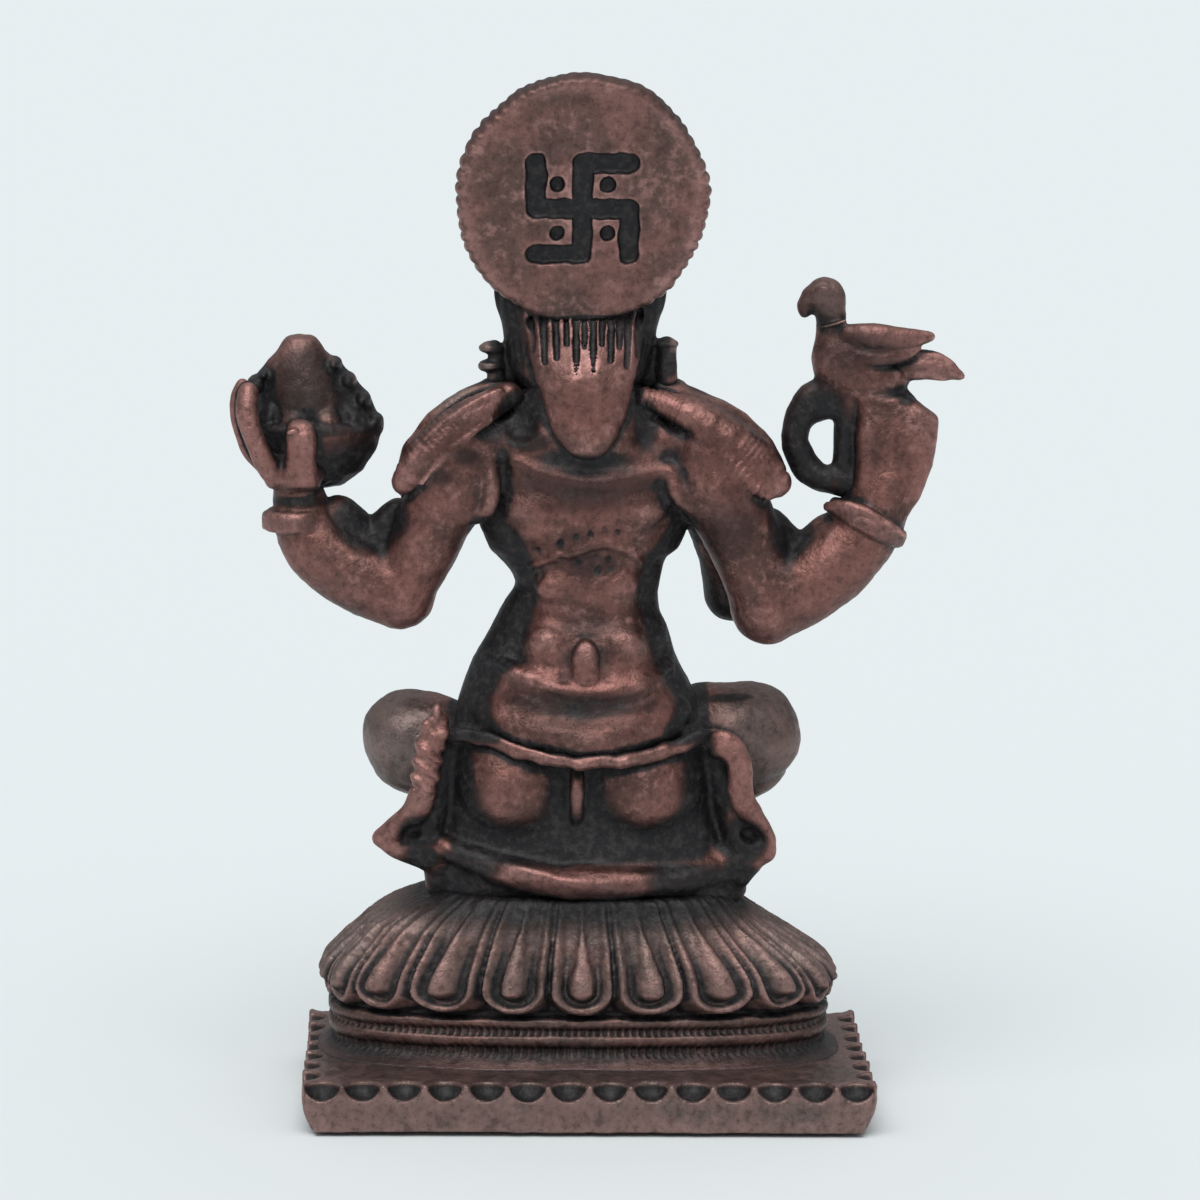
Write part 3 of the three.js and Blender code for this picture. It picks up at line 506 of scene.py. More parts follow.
def makeLegs(spec):
    wax = Wax(spec["low"], spec["high"], spec["step"], seat)
    # cushion and the back wall of the seat
    wax.stack([(-0.9, 10.9, 5.6, -2.2, -0.3), (0.6, 11.3, 6.5, -2.8, -0.3), (2.4, 11.0, 6.3, -2.9, -0.2),
               (4.0, 10.2, 5.2, -3.0)], exponent=3, edge=0.8)
    wax.stack([(-0.9, 10.9, 5.3, -1.2, -0.5), (1.6, 10.9, 5.5, -1.2, -0.5), (3.4, 10.6, 5.2, -1.2, -0.3),
               (5.2, 10.3, 4.8, -1.2), (9.0, 9.9, 4.8, -1.3), (11.4, 9.4, 4.9, -1.5),
               (12.6, 8.8, 4.8, -1.6)], exponent=3, edge=0.6)

    def creases(along, across):
        return spec["creaseDepth"] * np.sin(2 * math.pi * (along + 0.6 * across) / spec["creasePitch"])

    def folds(along, across):
        return spec["foldDepth"] * np.cos(2 * math.pi * (across + 0.08 * along) / spec["foldPitch"])

    def wrinkles(along, across):
        wave = spec["wrinkleDepth"] * np.sin(2 * math.pi * (along + 0.5 * across) / spec["wrinklePitch"])
        return np.where(along < spec["wrinkledFor"], wave, 0.0)

    # thighs out to the knees, and the shins crossed in front
    wax.roll([(3.6, -2.0, 8.9, 3.3), (8.2, -3.8, 9.6, 3.5), (12.3, -4.6, 10.4, 3.6)], blend=0.8,
             relief=creases)
    wax.roll([(-3.6, -2.0, 9.2, 3.4), (-8.8, -3.8, 10.6, 3.9), (-12.4, -4.6, 10.7, 3.9)], blend=0.8,
             relief=creases)
    wax.roll([(12.2, -5.4, 8.8, 2.9), (4.6, -8.0, 6.2, 2.4), (-3.4, -8.3, 5.6, 1.8),
              (-7.0, -7.7, 6.4, 1.2)], blend=0.5, relief=folds)
    wax.roll([(-12.4, -5.4, 8.6, 2.9), (-4.6, -8.2, 4.2, 2.3), (3.6, -8.3, 2.6, 1.8),
              (7.2, -7.7, 2.3, 1.2)], blend=0.35, relief=folds)
    # feet with toes
    for side, x, z in ((1, -8.2, 6.6), (-1, 8.4, 2.4)):
        wax.roll([(x + side * 1.6, -7.9, z - 0.1, 1.15), (x - side * 1.0, -7.8, z + 0.2, 0.95)], blend=0.5,
                 flat=0.8)
        for i in range(spec["toes"]):
            toe = z + 0.75 - 0.38 * i
            wax.roll([(x - side * 0.9, -8.1, toe, 0.34),
                      (x - side * (2.2 - 0.16 * i), -8.2, toe, 0.3 - 0.02 * i)], blend=0.12)
    # pleats falling between the legs
    for i in range(spec["pleats"]):
        angle = (i - (spec["pleats"] - 1) / 2) * 0.26
        sin, cos = math.sin(angle), math.cos(angle)
        wax.roll([(1.4 * sin, -9.0, 4.2 - 1.4 * cos, 0.55), (3.0 * sin, -9.6, 3.9 - 2.7 * cos, 0.62),
                  (4.6 * sin, -9.7, 4.2 - 4.3 * cos, 0.7)], blend=0.15)
    # faint creases in the cloth over the right knee
    wax.roll([(14.6, -1.9, 10.4, 0.1), (14.4, -2.2, 9.2, 0.16), (13.8, -2.6, 8.2, 0.1)], blend=0.3)
    # hips: soft squarish cushions that rise from a sunk field
    for x, z, wide, deep, tall in (
        (4.9, 9.2, 3.6, 3.2, 2.9), (5.0, 7.4, 3.5, 3.45, 3.0),
        (-4.2, 9.2, 3.6, 3.2, 2.9), (-4.8, 7.5, 3.7, 3.45, 2.9),
    ):
        wax.blob((x, 1.5, z), (wide, deep, tall), blend=1.5)
    wax.roll([(1.75, 4.1, 10.2, 0.35), (1.8, 4.6, 8.2, 0.5), (1.8, 4.2, 5.2, 0.45)], blend=0.5, cut=True)
    wax.roll([(-1.05, 4.1, 10.0, 0.35), (-1.0, 4.6, 8.0, 0.5), (-0.9, 4.2, 5.2, 0.45)], blend=0.5, cut=True)
    wax.roll([(0.3, 3.5, 10.0, 0.4), (0.3, 4.0, 8.4, 0.52), (0.3, 3.9, 6.6, 0.45), (0.3, 3.1, 5.2, 0.35)],
             blend=0.35)
    # hem: a broad soft roll over the lotus
    wax.roll([(10.0, 2.4, 3.7, 0.75), (7.4, 3.6, 2.8, 0.95), (4.2, 4.55, 1.9, 1.1), (0.6, 4.85, 1.45, 1.15),
              (-3.6, 4.6, 1.4, 1.05), (-7.4, 3.7, 1.6, 0.9), (-10.4, 2.2, 2.0, 0.8)], blend=0.9,
             relief=crumple(*spec["hemCrumple"]))
    wax.roll([(5.4, 5.0, 2.7, 0.2), (3.0, 5.6, 2.3, 0.3), (0.4, 5.9, 1.7, 0.28), (-2.2, 5.6, 1.5, 0.1)],
             blend=0.7)
    wax.roll([(-10.5, 1.4, 2.6, 1.3), (-11.0, 0.8, 0.4, 1.15)], blend=0.5)
    wax.roll([(10.0, 1.4, 3.0, 1.3), (10.1, 0.8, 0.6, 1.1)], blend=0.5)
    # sashes: their dark backing first
    wax.roll([(9.7, 0.6, 10.4, 1.4), (10.6, 1.1, 7.4, 1.5), (11.4, 1.3, 4.6, 1.5), (11.2, 1.2, 3.2, 1.2)],
             blend=0.5)
    wax.roll([(-10.0, 0.6, 10.2, 1.5), (-10.9, 1.1, 7.0, 1.5), (-11.9, 1.3, 4.4, 1.6),
              (-11.9, 1.2, 2.8, 1.5)], blend=0.5)
    # the left one hangs from a knot, wrinkled above and smooth below, and flares out
    wax.roll([(10.0, 2.3, 12.6, 0.75), (10.6, 2.9, 12.1, 0.95), (10.95, 3.2, 10.8, 1.08),
              (11.1, 3.3, 9.2, 1.08), (11.35, 3.2, 7.6, 1.08), (11.9, 2.9, 6.3, 1.0),
              (12.9, 2.5, 5.2, 0.95), (14.1, 2.1, 4.3, 0.72)], blend=0.3, flat=0.8, relief=wrinkles)
    wax.blob((10.45, 2.7, 13.4), (0.5, 0.6, 0.85), (0, -12, 0), blend=0.4)
    wax.blob((11.1, 3.2, 12.75), (0.5, 0.5, 0.42), blend=0.35)
    wax.blob((10.0, 3.2, 12.0), (0.55, 0.5, 0.5), blend=0.4)
    wax.roll([(14.3, 1.9, 4.1, 0.62), (13.4, 1.9, 3.5, 0.75), (12.2, 1.7, 3.0, 0.85),
              (10.9, 1.6, 2.6, 0.9)], blend=0.4)
    wax.blob((12.1, 3.2, 4.7), (0.75, 1.2, 0.55), (0, 25, 0), blend=0.4, cut=True)
    # the right one curls over at its top
    wax.roll([(-9.2, 2.8, 11.5, 0.5), (-10.0, 3.1, 11.8, 0.72), (-11.0, 3.3, 11.1, 0.88),
              (-11.35, 3.4, 9.8, 0.98), (-11.4, 3.3, 8.3, 1.0), (-11.8, 3.1, 7.0, 0.95),
              (-12.7, 2.7, 5.7, 0.75), (-13.55, 2.3, 4.5, 0.6), (-13.7, 2.1, 3.5, 0.5)], blend=0.3,
             flat=0.8, relief=crumple(3.0, 0.06))
    wax.blob((-10.0, 3.1, 10.9), (0.95, 0.85, 0.7), (0, 20, 0), blend=0.5)
    wax.roll([(-9.9, 4.35, 9.9, 0.1), (-10.8, 4.55, 9.4, 0.16), (-11.8, 4.5, 9.4, 0.1)], blend=0.3,
             cut=True)
    wax.roll([(-13.4, 1.9, 3.2, 0.8), (-12.4, 1.7, 2.8, 0.95), (-11.6, 1.5, 1.6, 0.95)], blend=0.4)
    wax.blob((-12.2, 3.1, 4.6), (0.8, 1.2, 0.6), (0, -30, 0), blend=0.4, cut=True)
    return wax


def backOf(wax, x, z):
    # how far back the form reaches at a place across and up, so that marks can be set on it
    depths = np.arange(6.5, -2.0, -0.04)
    line = np.stack([np.full(depths.shape, x), depths, np.full(depths.shape, z)], axis=1) + seat
    return depths[np.argmax(wax.sample(line) < 0)]


# Trunk, arms and garlands
trunk = {
    "low": (-26, -11, 24.3), "high": (25, 7.5, 55), "step": 0.17,
    "pinHoles": 46, "pinHoleSize": (0.08, 0.17), "seed": 3, "garlandTicks": (0.42, 0.06),
    "bookLean": -0.17, "leafPitch": 0.3, "leafDepth": 0.05,
}
# [height, left edge, right edge] of the rubbed back; the flanks beyond keep their black patina
backEdge = [
    (11.0, 5.9, -5.9), (12.6, 5.9, -5.9), (13.4, 6.6, -6.5), (14.6, 6.5, -6.9), (16.2, 5.8, -5.8),
    (17.2, 4.5, -5.2), (19.0, 4.0, -4.7), (21.4, 3.35, -3.95), (23.5, 3.35, -4.2), (24.8, 3.8, -4.7),
    (26.2, 4.5, -5.7), (27.4, 5.9, -6.5), (28.4, 6.6, -7.4),
]


def makeTrunk(spec):
    wax = Wax(spec["low"], spec["high"], spec["step"], seat)
    # the deep flanks of the body
    wax.stack([(11.3, 9.3, 4.3, -1.6, 0.1), (14.2, 8.6, 4.5, -1.9, 0.2), (16.8, 7.5, 4.1, -1.7, 0.4),
               (19.1, 6.45, 3.6, -1.5, 0.1), (20.9, 5.65, 3.1, -1.3, 0.0), (22.5, 5.25, 2.9, -1.2, -0.4),
               (24.2, 6.05, 3.1, -1.1, 0.0), (25.4, 7.1, 3.4, -1.0, -0.1), (29.6, 8.4, 3.9, -0.9),
               (33.4, 7.0, 3.5, -0.9), (38.0, 3.2, 2.9, -0.9)])
    # the back that stands out from them
    wax.stack([(11.8, 6.0, 4.2, 0.0, 0.0), (13.3, 6.7, 4.4, 0.0, 0.0), (14.6, 6.7, 4.35, 0.0, -0.2),
               (16.2, 5.8, 4.0, 0, 0), (17.4, 4.9, 3.6, 0, -0.35), (19.0, 4.35, 3.3, 0, -0.3),
               (21.4, 3.65, 2.9, 0, -0.3), (23.5, 3.8, 2.9, 0, -0.45), (24.8, 4.25, 3.05, 0, -0.4),
               (26.2, 5.1, 3.25, 0, -0.6), (27.6, 6.1, 3.4, 0, -0.3), (30.0, 6.5, 3.5, 0, 0),
               (32.0, 6.3, 3.3, 0, 0), (33.6, 5.6, 2.9, 0, 0)], exponent=3.0, blend=0.7, edge=0.9)
    for x, y, z, rx, ry, rz in (
        (3.3, 2.5, 28.2, 2.3, 1.25, 1.4), (-3.4, 2.5, 28.3, 2.5, 1.25, 1.4), (3.0, 2.2, 26.6, 1.7, 1.1, 1.0),
        (1.9, 2.0, 22.6, 1.6, 1.05, 1.2), (-2.3, 2.0, 22.8, 1.6, 1.05, 1.2),
        (2.3, 2.4, 18.5, 1.6, 1.3, 1.5), (-2.7, 2.4, 18.4, 1.7, 1.3, 1.6),
    ):
        wax.blob((x, y, z), (rx, ry, rz), blend=0.8)
    wax.roll([(0.2, 4.2, 29.8, 0.2), (0.3, 4.15, 28.7, 0.32), (0.3, 3.95, 27.8, 0.2)], blend=0.7, cut=True)
    wax.roll([(3.4, 3.4, 20.7, 0.4), (0, 3.7, 20.5, 0.5), (-4.0, 3.4, 20.7, 0.4)], blend=1.2, cut=True)
    # the small arch, the worn patch and the pits that the mould left on the back
    wax.blob((-0.6, 4.0, 24.2), (1.9, 0.8, 0.9), blend=0.9, cut=True)
    arch = ((3.6, 24.0), (2.3, 24.7), (0.7, 25.2), (-0.6, 25.6), (-1.9, 25.75), (-3.2, 25.2), (-4.1, 24.4))
    wax.roll([(x, backOf(wax, x, z) - 0.05, z, 0.3) for x, z in arch], blend=0.35)
    rng = np.random.default_rng(spec["seed"])
    for x, z, size in ((1.66, 25.75, 0.46), (0.55, 26.25, 0.34), (-0.5, 26.5, 0.28), (-1.5, 26.75, 0.24),
                       (-2.4, 26.6, 0.26), (-3.7, 25.9, 0.28), (3.2, 25.2, 0.26), (3.0, 23.5, 0.3)):
        place, radii = (x, backOf(wax, x, z) + 0.08, z), (size * 0.55, 0.3, size)
        wax.blob(place, radii, (0, rng.uniform(-30, 30), 0), blend=0.2, cut=True)
    for i in range(spec["pinHoles"]):
        x, z = rng.normal(-0.6, 1.3), rng.normal(24.2, 0.7)
        size = rng.uniform(*spec["pinHoleSize"])
        wax.blob((x, backOf(wax, x, z) + 0.1, z), (size, 0.22, size), blend=0.15, cut=True)
    # neckline, with the slight hollow over it
    wax.blob((0, 1.2, 33.2), (7.0, 2.4, 2.0), blend=0.9)
    wax.roll([(4.9, 2.75, 31.6, 0.35), (3.0, 3.1, 30.95, 0.5), (1.0, 3.3, 30.5, 0.58),
              (-0.5, 3.3, 30.35, 0.58), (-3.0, 3.1, 30.5, 0.5), (-5.6, 2.6, 31.1, 0.35)], blend=0.9,
             relief=crumple(3.0, 0.05))
    wax.roll([(3.4, 3.7, 32.2, 0.35), (0, 4.1, 31.6, 0.45), (-3.4, 3.7, 31.9, 0.35)], blend=0.9, cut=True)
    # shoulders
    wax.blob((8.4, 0.4, 32.4), (3.4, 2.8, 2.6), blend=1.0)
    wax.blob((-9.0, 0.4, 32.2), (3.4, 2.8, 2.6), blend=1.0)
    # belt and the rounded roll under it
    wax.roll([(6.2, 0.6, 17.1, 0.5), (4.5, 2.9, 16.35, 0.6), (2.0, 3.8, 15.5, 0.62), (0, 4.0, 15.2, 0.62),
              (-2.0, 3.85, 15.2, 0.62), (-4.5, 2.9, 15.8, 0.6), (-6.4, 0.6, 16.6, 0.5)], blend=0.5,
             relief=crumple(3.4, 0.05))
    wax.roll([(5.2, 3.8, 15.6, 0.25), (2.0, 4.7, 14.6, 0.32), (0, 4.9, 14.3, 0.34),
              (-3.0, 4.5, 14.55, 0.32), (-5.6, 3.6, 15.3, 0.25)], blend=0.5, cut=True)
    wax.roll([(7.0, 1.2, 13.7, 0.9), (5.2, 2.9, 12.7, 1.2), (2.6, 3.9, 12.1, 1.35), (0, 4.2, 11.85, 1.4),
              (-2.6, 4.0, 12.0, 1.35), (-5.2, 2.9, 12.6, 1.2), (-7.2, 1.3, 13.6, 0.9)], blend=0.9,
             relief=crumple(4.2, 0.07))
    wax.roll([(6.4, 2.2, 12.0, 0.95), (4.4, 3.0, 11.6, 1.05), (2.6, 3.5, 11.2, 1.1), (0, 3.75, 11.0, 1.15),
              (-2.6, 3.55, 11.1, 1.1), (-4.4, 3.0, 11.5, 1.05), (-6.4, 2.2, 12.1, 0.95)], blend=0.8)
    # the tab over the belt
    wax.roll([(1.35, 3.8, 19.0, 0.2), (1.3, 3.95, 17.6, 0.38), (1.3, 4.1, 16.4, 0.3)], blend=0.4, cut=True)
    wax.roll([(-1.65, 3.8, 19.0, 0.2), (-1.75, 3.95, 17.6, 0.42), (-1.75, 4.1, 16.4, 0.3)], blend=0.4,
             cut=True)
    wax.stack([(15.8, 1.05, 0.9, 3.5, -0.25), (17.4, 1.05, 0.95, 3.4, -0.2), (18.2, 0.95, 0.9, 3.3, -0.2),
               (18.8, 0.65, 0.7, 3.2, -0.2), (19.1, 0.3, 0.4, 3.15, -0.2)], exponent=2.6, blend=0.1,
              edge=0.3)

    # raised arms: upper arm, elbow, forearm
    wax.roll([(8.9, 0.95, 31.6, 2.8), (9.5, 1.05, 29.4, 2.95), (10.6, 0.75, 27.2, 2.75),
              (11.6, 0.5, 25.0, 2.65), (12.6, 0.4, 22.9, 2.5), (13.1, 0.3, 21.6, 2.4)], blend=0.5)
    wax.roll([(13.1, 0.3, 21.6, 2.45), (15.8, 0.3, 22.9, 2.72), (18.3, 0.2, 24.6, 2.65),
              (19.9, 0, 26.6, 2.25), (20.4, 0, 29.0, 1.85)], blend=0.6)
    wax.roll([(-9.2, 0.95, 31.6, 2.85), (-9.9, 1.05, 29.4, 3.05), (-11.0, 0.75, 27.2, 2.9),
              (-12.0, 0.5, 25.0, 2.8), (-12.9, 0.4, 22.8, 2.7), (-13.4, 0.3, 21.0, 2.6)], blend=0.5)
    wax.roll([(-13.4, 0.3, 21.0, 2.6), (-16.2, 0.3, 22.6, 2.88), (-18.9, 0.2, 24.9, 2.85),
              (-20.6, 0, 27.2, 2.6), (-21.9, 0, 30.0, 2.3)], blend=0.6)
    # sleeve edges where the upper arms leave the back
    wax.roll([(6.9, 2.6, 32.0, 0.6), (6.6, 3.0, 30.0, 0.7), (6.8, 2.9, 28.4, 0.65), (7.6, 2.6, 27.5, 0.5)],
             blend=0.6)
    wax.roll([(-6.2, 2.6, 30.9, 0.5), (-6.6, 2.8, 29.5, 0.65), (-7.4, 2.6, 28.6, 0.6),
              (-8.6, 2.3, 28.1, 0.5)], blend=0.8)
    wax.roll([(5.6, 4.0, 31.0, 0.2), (5.5, 4.0, 29.4, 0.34), (5.8, 3.7, 27.9, 0.34)], blend=0.6, cut=True)
    wax.roll([(-6.9, 4.15, 31.6, 0.2), (-7.3, 4.15, 30.6, 0.3), (-8.0, 4.0, 29.6, 0.2)], blend=0.6,
             cut=True)
    # metal left in the bend of each elbow
    wax.roll([(13.2, -0.4, 27.2, 1.5), (15.2, -0.5, 25.5, 1.65), (17.5, -0.5, 27.0, 1.75)], blend=0.35)
    wax.roll([(-13.4, -0.4, 26.6, 1.5), (-15.6, -0.5, 24.5, 1.7), (-17.8, -0.5, 26.2, 1.55)], blend=0.35)
    # bracelets
    wax.lathe([(0.4, -0.95), (2.4, -0.9), (2.62, -0.6), (2.6, 0.1), (2.5, 0.5), (2.2, 0.75), (0.4, 0.85)],
              (20.5, 0, 27.15), lean=3, blend=0.12)
    wax.lathe([(0.4, -0.95), (2.8, -0.85), (3.12, -0.5), (3.15, 0.2), (2.9, 0.6), (0.4, 0.75)],
              (-20.5, 0.1, 27.2), lean=-26, blend=0.12)
    wax.roll([(-17.6, 1.1, 28.3, 0.4), (-19.2, 2.3, 28.5, 0.5), (-21.2, 2.7, 27.6, 0.4),
              (-23.0, 1.9, 26.4, 0.3)], blend=0.2, relief=crumple(2.4, 0.05))

    # front arms, seen past the back ones
    wax.roll([(8.2, -1.8, 30.6, 2.4), (11.0, -2.8, 25.6, 2.0), (12.5, -3.8, 22.4, 1.9)], blend=0.5)
    wax.roll([(12.5, -3.8, 22.4, 1.9), (12.0, -6.2, 22.9, 1.7), (11.2, -7.9, 25.2, 1.2)], blend=0.5)
    wax.roll([(-8.4, -1.8, 30.6, 2.4), (-10.4, -2.8, 25.2, 2.25), (-11.2, -3.8, 21.4, 2.15)], blend=0.5)
    wax.roll([(-11.2, -3.8, 21.4, 2.15), (-11.3, -6.2, 22.7, 1.75), (-10.8, -7.9, 25.2, 1.2)], blend=0.5)
    for x, z in ((11.2, 24.7), (-10.9, 24.6)):
        wax.lathe([(0.3, -0.45), (1.5, -0.4), (1.75, 0), (1.5, 0.4), (0.3, 0.45)], (x, -7.6, z), blend=0.1)
    # the teaching hand: palm forward, thumb and first finger meeting
    wax.blob((-10.8, -8.4, 27.2), (1.45, 0.8, 1.6), blend=0.4)
    for x, top in ((-11.9, 30.3), (-11.2, 31.0), (-10.5, 30.8)):
        wax.roll([(x + 0.15, -8.5, 28.2, 0.42), (x, -8.5, 29.6, 0.4), (x - 0.05, -8.3, top, 0.32)],
                 blend=0.12)
    wax.roll([(-9.8, -8.5, 28.2, 0.42), (-9.4, -9.1, 29.2, 0.38), (-9.3, -9.5, 28.6, 0.32)], blend=0.12)
    wax.roll([(-9.6, -8.6, 26.8, 0.48), (-9.0, -9.1, 27.8, 0.42), (-9.2, -9.5, 28.5, 0.34)], blend=0.15)
    # the hand that holds a palm-leaf book
    wax.blob((10.8, -8.0, 26.5), (1.5, 0.9, 1.5), blend=0.4)
    spot, x, y, z = wax.window((7.6, -10.4, 26.6), (13.6, -7.6, 31.4))
    v, w = y + 9.0, z - 29.0
    sin, cos = math.sin(spec["bookLean"]), math.cos(spec["bookLean"])
    v, w = v * cos - w * sin, v * sin + w * cos
    leafs = spec["leafDepth"] * np.cos(2 * math.pi * v / spec["leafPitch"])
    book = np.maximum(np.maximum(np.abs(x - 10.6) - 2.55 - leafs, np.abs(v) - 0.7), np.abs(w) - 1.85 - leafs)
    wax.press(spot, book, 0.15)
    for i in range(4):
        z = 27.9 + 0.62 * i
        wax.roll([(12.6, -8.3, z, 0.36), (13.2, -9.2, z, 0.34), (12.4, -9.95, z - 0.05, 0.3)], blend=0.1)

    # bust, bodice edge and necklaces
    for side in (1, -1):
        wax.blob((side * 3.1, -4.3, 27.4), (2.5, 2.2, 2.35), blend=0.6)
    wax.roll([(5.6, -3.9, 25.6, 0.4), (3.0, -5.2, 24.8, 0.45), (0, -4.6, 25.2, 0.4),
              (-3.0, -5.2, 24.8, 0.45), (-5.6, -3.9, 25.6, 0.4)], blend=0.2, relief=ribs(0.8, 0.06, 1.0))
    for wide, top, low, size, pitch in (
        (3.8, 34.4, 31.4, 0.5, 0.75), (4.7, 34.0, 28.8, 0.42, 0.9), (5.3, 33.4, 23.6, 0.5, 1.0),
    ):
        stations = []
        for share in (-1, -0.75, -0.45, 0, 0.45, 0.75, 1):
            fall = 1 - share * share
            stations.append((wide * share, -3.2 - 3.1 * fall, top + (low - top) * fall, size))
        wax.roll(stations, blend=0.15, relief=beads(pitch, 0.2))
    wax.blob((0, -6.5, 23.4), (0.9, 0.6, 1.0), blend=0.15)
    # girdle in front
    wax.roll([(7.4, -3.6, 14.8, 0.6), (4.0, -6.0, 14.2, 0.7), (0, -6.7, 13.8, 0.75),
              (-4.0, -6.0, 14.2, 0.7), (-7.4, -3.6, 14.8, 0.6)], blend=0.25, relief=beads(1.1, 0.15))
    wax.blob((0, -4.7, 19.6), (0.3, 0.6, 0.35), blend=0.3, cut=True)

    # garlands over the shoulders: flat bands, ticked across, with a plain strap before them
    wax.roll([(5.4, 1.2, 36.2, 1.05), (7.4, 1.9, 35.2, 1.35), (9.4, 2.4, 33.9, 1.42),
              (11.1, 2.7, 32.3, 1.42), (12.2, 2.6, 30.9, 1.3), (12.8, 2.4, 30.1, 1.05)], blend=0.12,
             flat=0.75, facing=(0.15, 0.9, 0.35), relief=ribs(*spec["garlandTicks"]))
    wax.roll([(6.0, 2.0, 36.7, 0.22), (8.2, 2.7, 35.7, 0.26), (10.4, 3.1, 34.1, 0.28),
              (12.0, 3.2, 32.3, 0.28), (12.9, 2.9, 30.6, 0.22)], blend=0.3)
    wax.roll([(6.6, 2.7, 34.6, 0.24), (8.6, 3.3, 33.2, 0.28), (10.4, 3.5, 31.5, 0.3),
              (11.5, 3.5, 30.1, 0.24)], blend=0.25)
    wax.roll([(-4.4, 1.2, 36.1, 0.9), (-6.4, 1.7, 35.5, 1.1), (-8.6, 2.3, 34.5, 1.3),
              (-10.8, 2.5, 32.9, 1.55), (-12.6, 2.5, 31.3, 1.55), (-13.7, 2.4, 30.3, 1.25)], blend=0.3,
             flat=0.8, facing=(-0.2, 0.9, 0.35), relief=ribs(0.4, 0.07))
    wax.roll([(-8.2, 2.9, 33.7, 0.4), (-10.4, 3.3, 31.8, 0.66), (-12.0, 3.3, 30.2, 0.7),
              (-13.1, 3.0, 29.5, 0.55)], blend=0.3, relief=ribs(0.5, 0.08))
    wax.roll([(6.2, -0.4, 36.6, 0.75), (7.7, -0.3, 36.1, 0.8), (9.3, -0.2, 35.15, 0.85),
              (10.8, 0.0, 33.9, 0.9), (12.0, 0.4, 32.2, 0.85), (12.6, 0.9, 30.9, 0.8),
              (12.6, 1.2, 30.0, 0.7)], blend=0.3)
    wax.roll([(-5.6, -0.3, 36.6, 0.7), (-7.6, -0.2, 36.0, 0.8), (-9.6, -0.1, 35.1, 0.85),
              (-11.4, 0.0, 34.0, 0.95), (-12.8, 0.3, 32.5, 0.95), (-13.8, 0.6, 30.9, 0.85)], blend=0.3,
             relief=crumple(3.4, 0.07))
    wax.roll([(-7.0, 0.9, 35.3, 1.1), (-9.6, 1.2, 34.0, 1.4), (-12.2, 1.4, 32.0, 1.5)], blend=0.5)
    for side in (1, -1):
        wax.roll([(side * 6.4, -0.8, 36.0, 1.3), (side * 9.4, -2.3, 33.4, 1.35),
                  (side * 11.3, -3.0, 30.8, 1.15)], blend=0.3, relief=ribs(0.6, 0.08))
        wax.roll([(side * 4.8, -1.4, 37.0, 0.8), (side * 5.8, -4.0, 33.0, 0.7),
                  (side * 6.0, -5.0, 29.0, 0.6), (side * 4.6, -5.6, 24.6, 0.5)], blend=0.2,
                 relief=beads(0.9, 0.15))
    wax.blob((12.15, 1.0, 31.9), (1.0, 1.2, 1.4), blend=0.4)
    # the hollows beside the lock
    wax.blob((4.7, 3.1, 34.9), (1.5, 1.6, 1.9), blend=0.6, cut=True)
    wax.blob((-4.6, 3.3, 33.9), (1.3, 1.1, 1.6), blend=0.7, cut=True)
    return wax


# The crumpled cord that crosses the seat from sash to sash
cord = {"low": (-12, 0.5, 22.5), "high": (12.5, 8, 30.5), "step": 0.13, "crumple": (2.6, 0.12)}


def makeCord(spec):
    wax = Wax(spec["low"], spec["high"], spec["step"], seat)
    wax.roll([(9.8, 2.3, 11.8, 0.5), (7.4, 3.2, 11.8, 0.56), (5.4, 4.1, 11.2, 0.56),
              (3.6, 4.8, 10.75, 0.56), (1.6, 5.15, 10.5, 0.58), (-0.4, 5.25, 10.4, 0.58),
              (-2.4, 5.15, 10.5, 0.58), (-4.4, 4.7, 10.75, 0.56), (-6.2, 3.9, 11.15, 0.56),
              (-7.8, 3.2, 11.7, 0.56), (-9.6, 2.4, 12.0, 0.5)], relief=crumple(*spec["crumple"]))
    wax.roll([(9.0, 2.7, 12.2, 0.2), (6.8, 3.7, 12.0, 0.34), (4.8, 4.6, 11.4, 0.34),
              (2.8, 5.3, 10.95, 0.26), (1.0, 5.5, 10.6, 0.1)], blend=0.3)
    wax.roll([(-2.0, 5.2, 10.2, 0.1), (-4.6, 4.7, 10.4, 0.24), (-7.0, 3.7, 11.0, 0.28),
              (-9.0, 2.8, 11.5, 0.2)], blend=0.3)
    return wax


# Upper left hand with the pot, its leaves and the coconut
potHand = {
    "low": (12.5, -8.5, 42.5), "high": (27.6, 4.6, 56.4), "step": 0.13,
    "rim": (19.5, -2.1, 33.6), "squeeze": 0.8, "leaves": 10, "leafLean": 0.52,
}


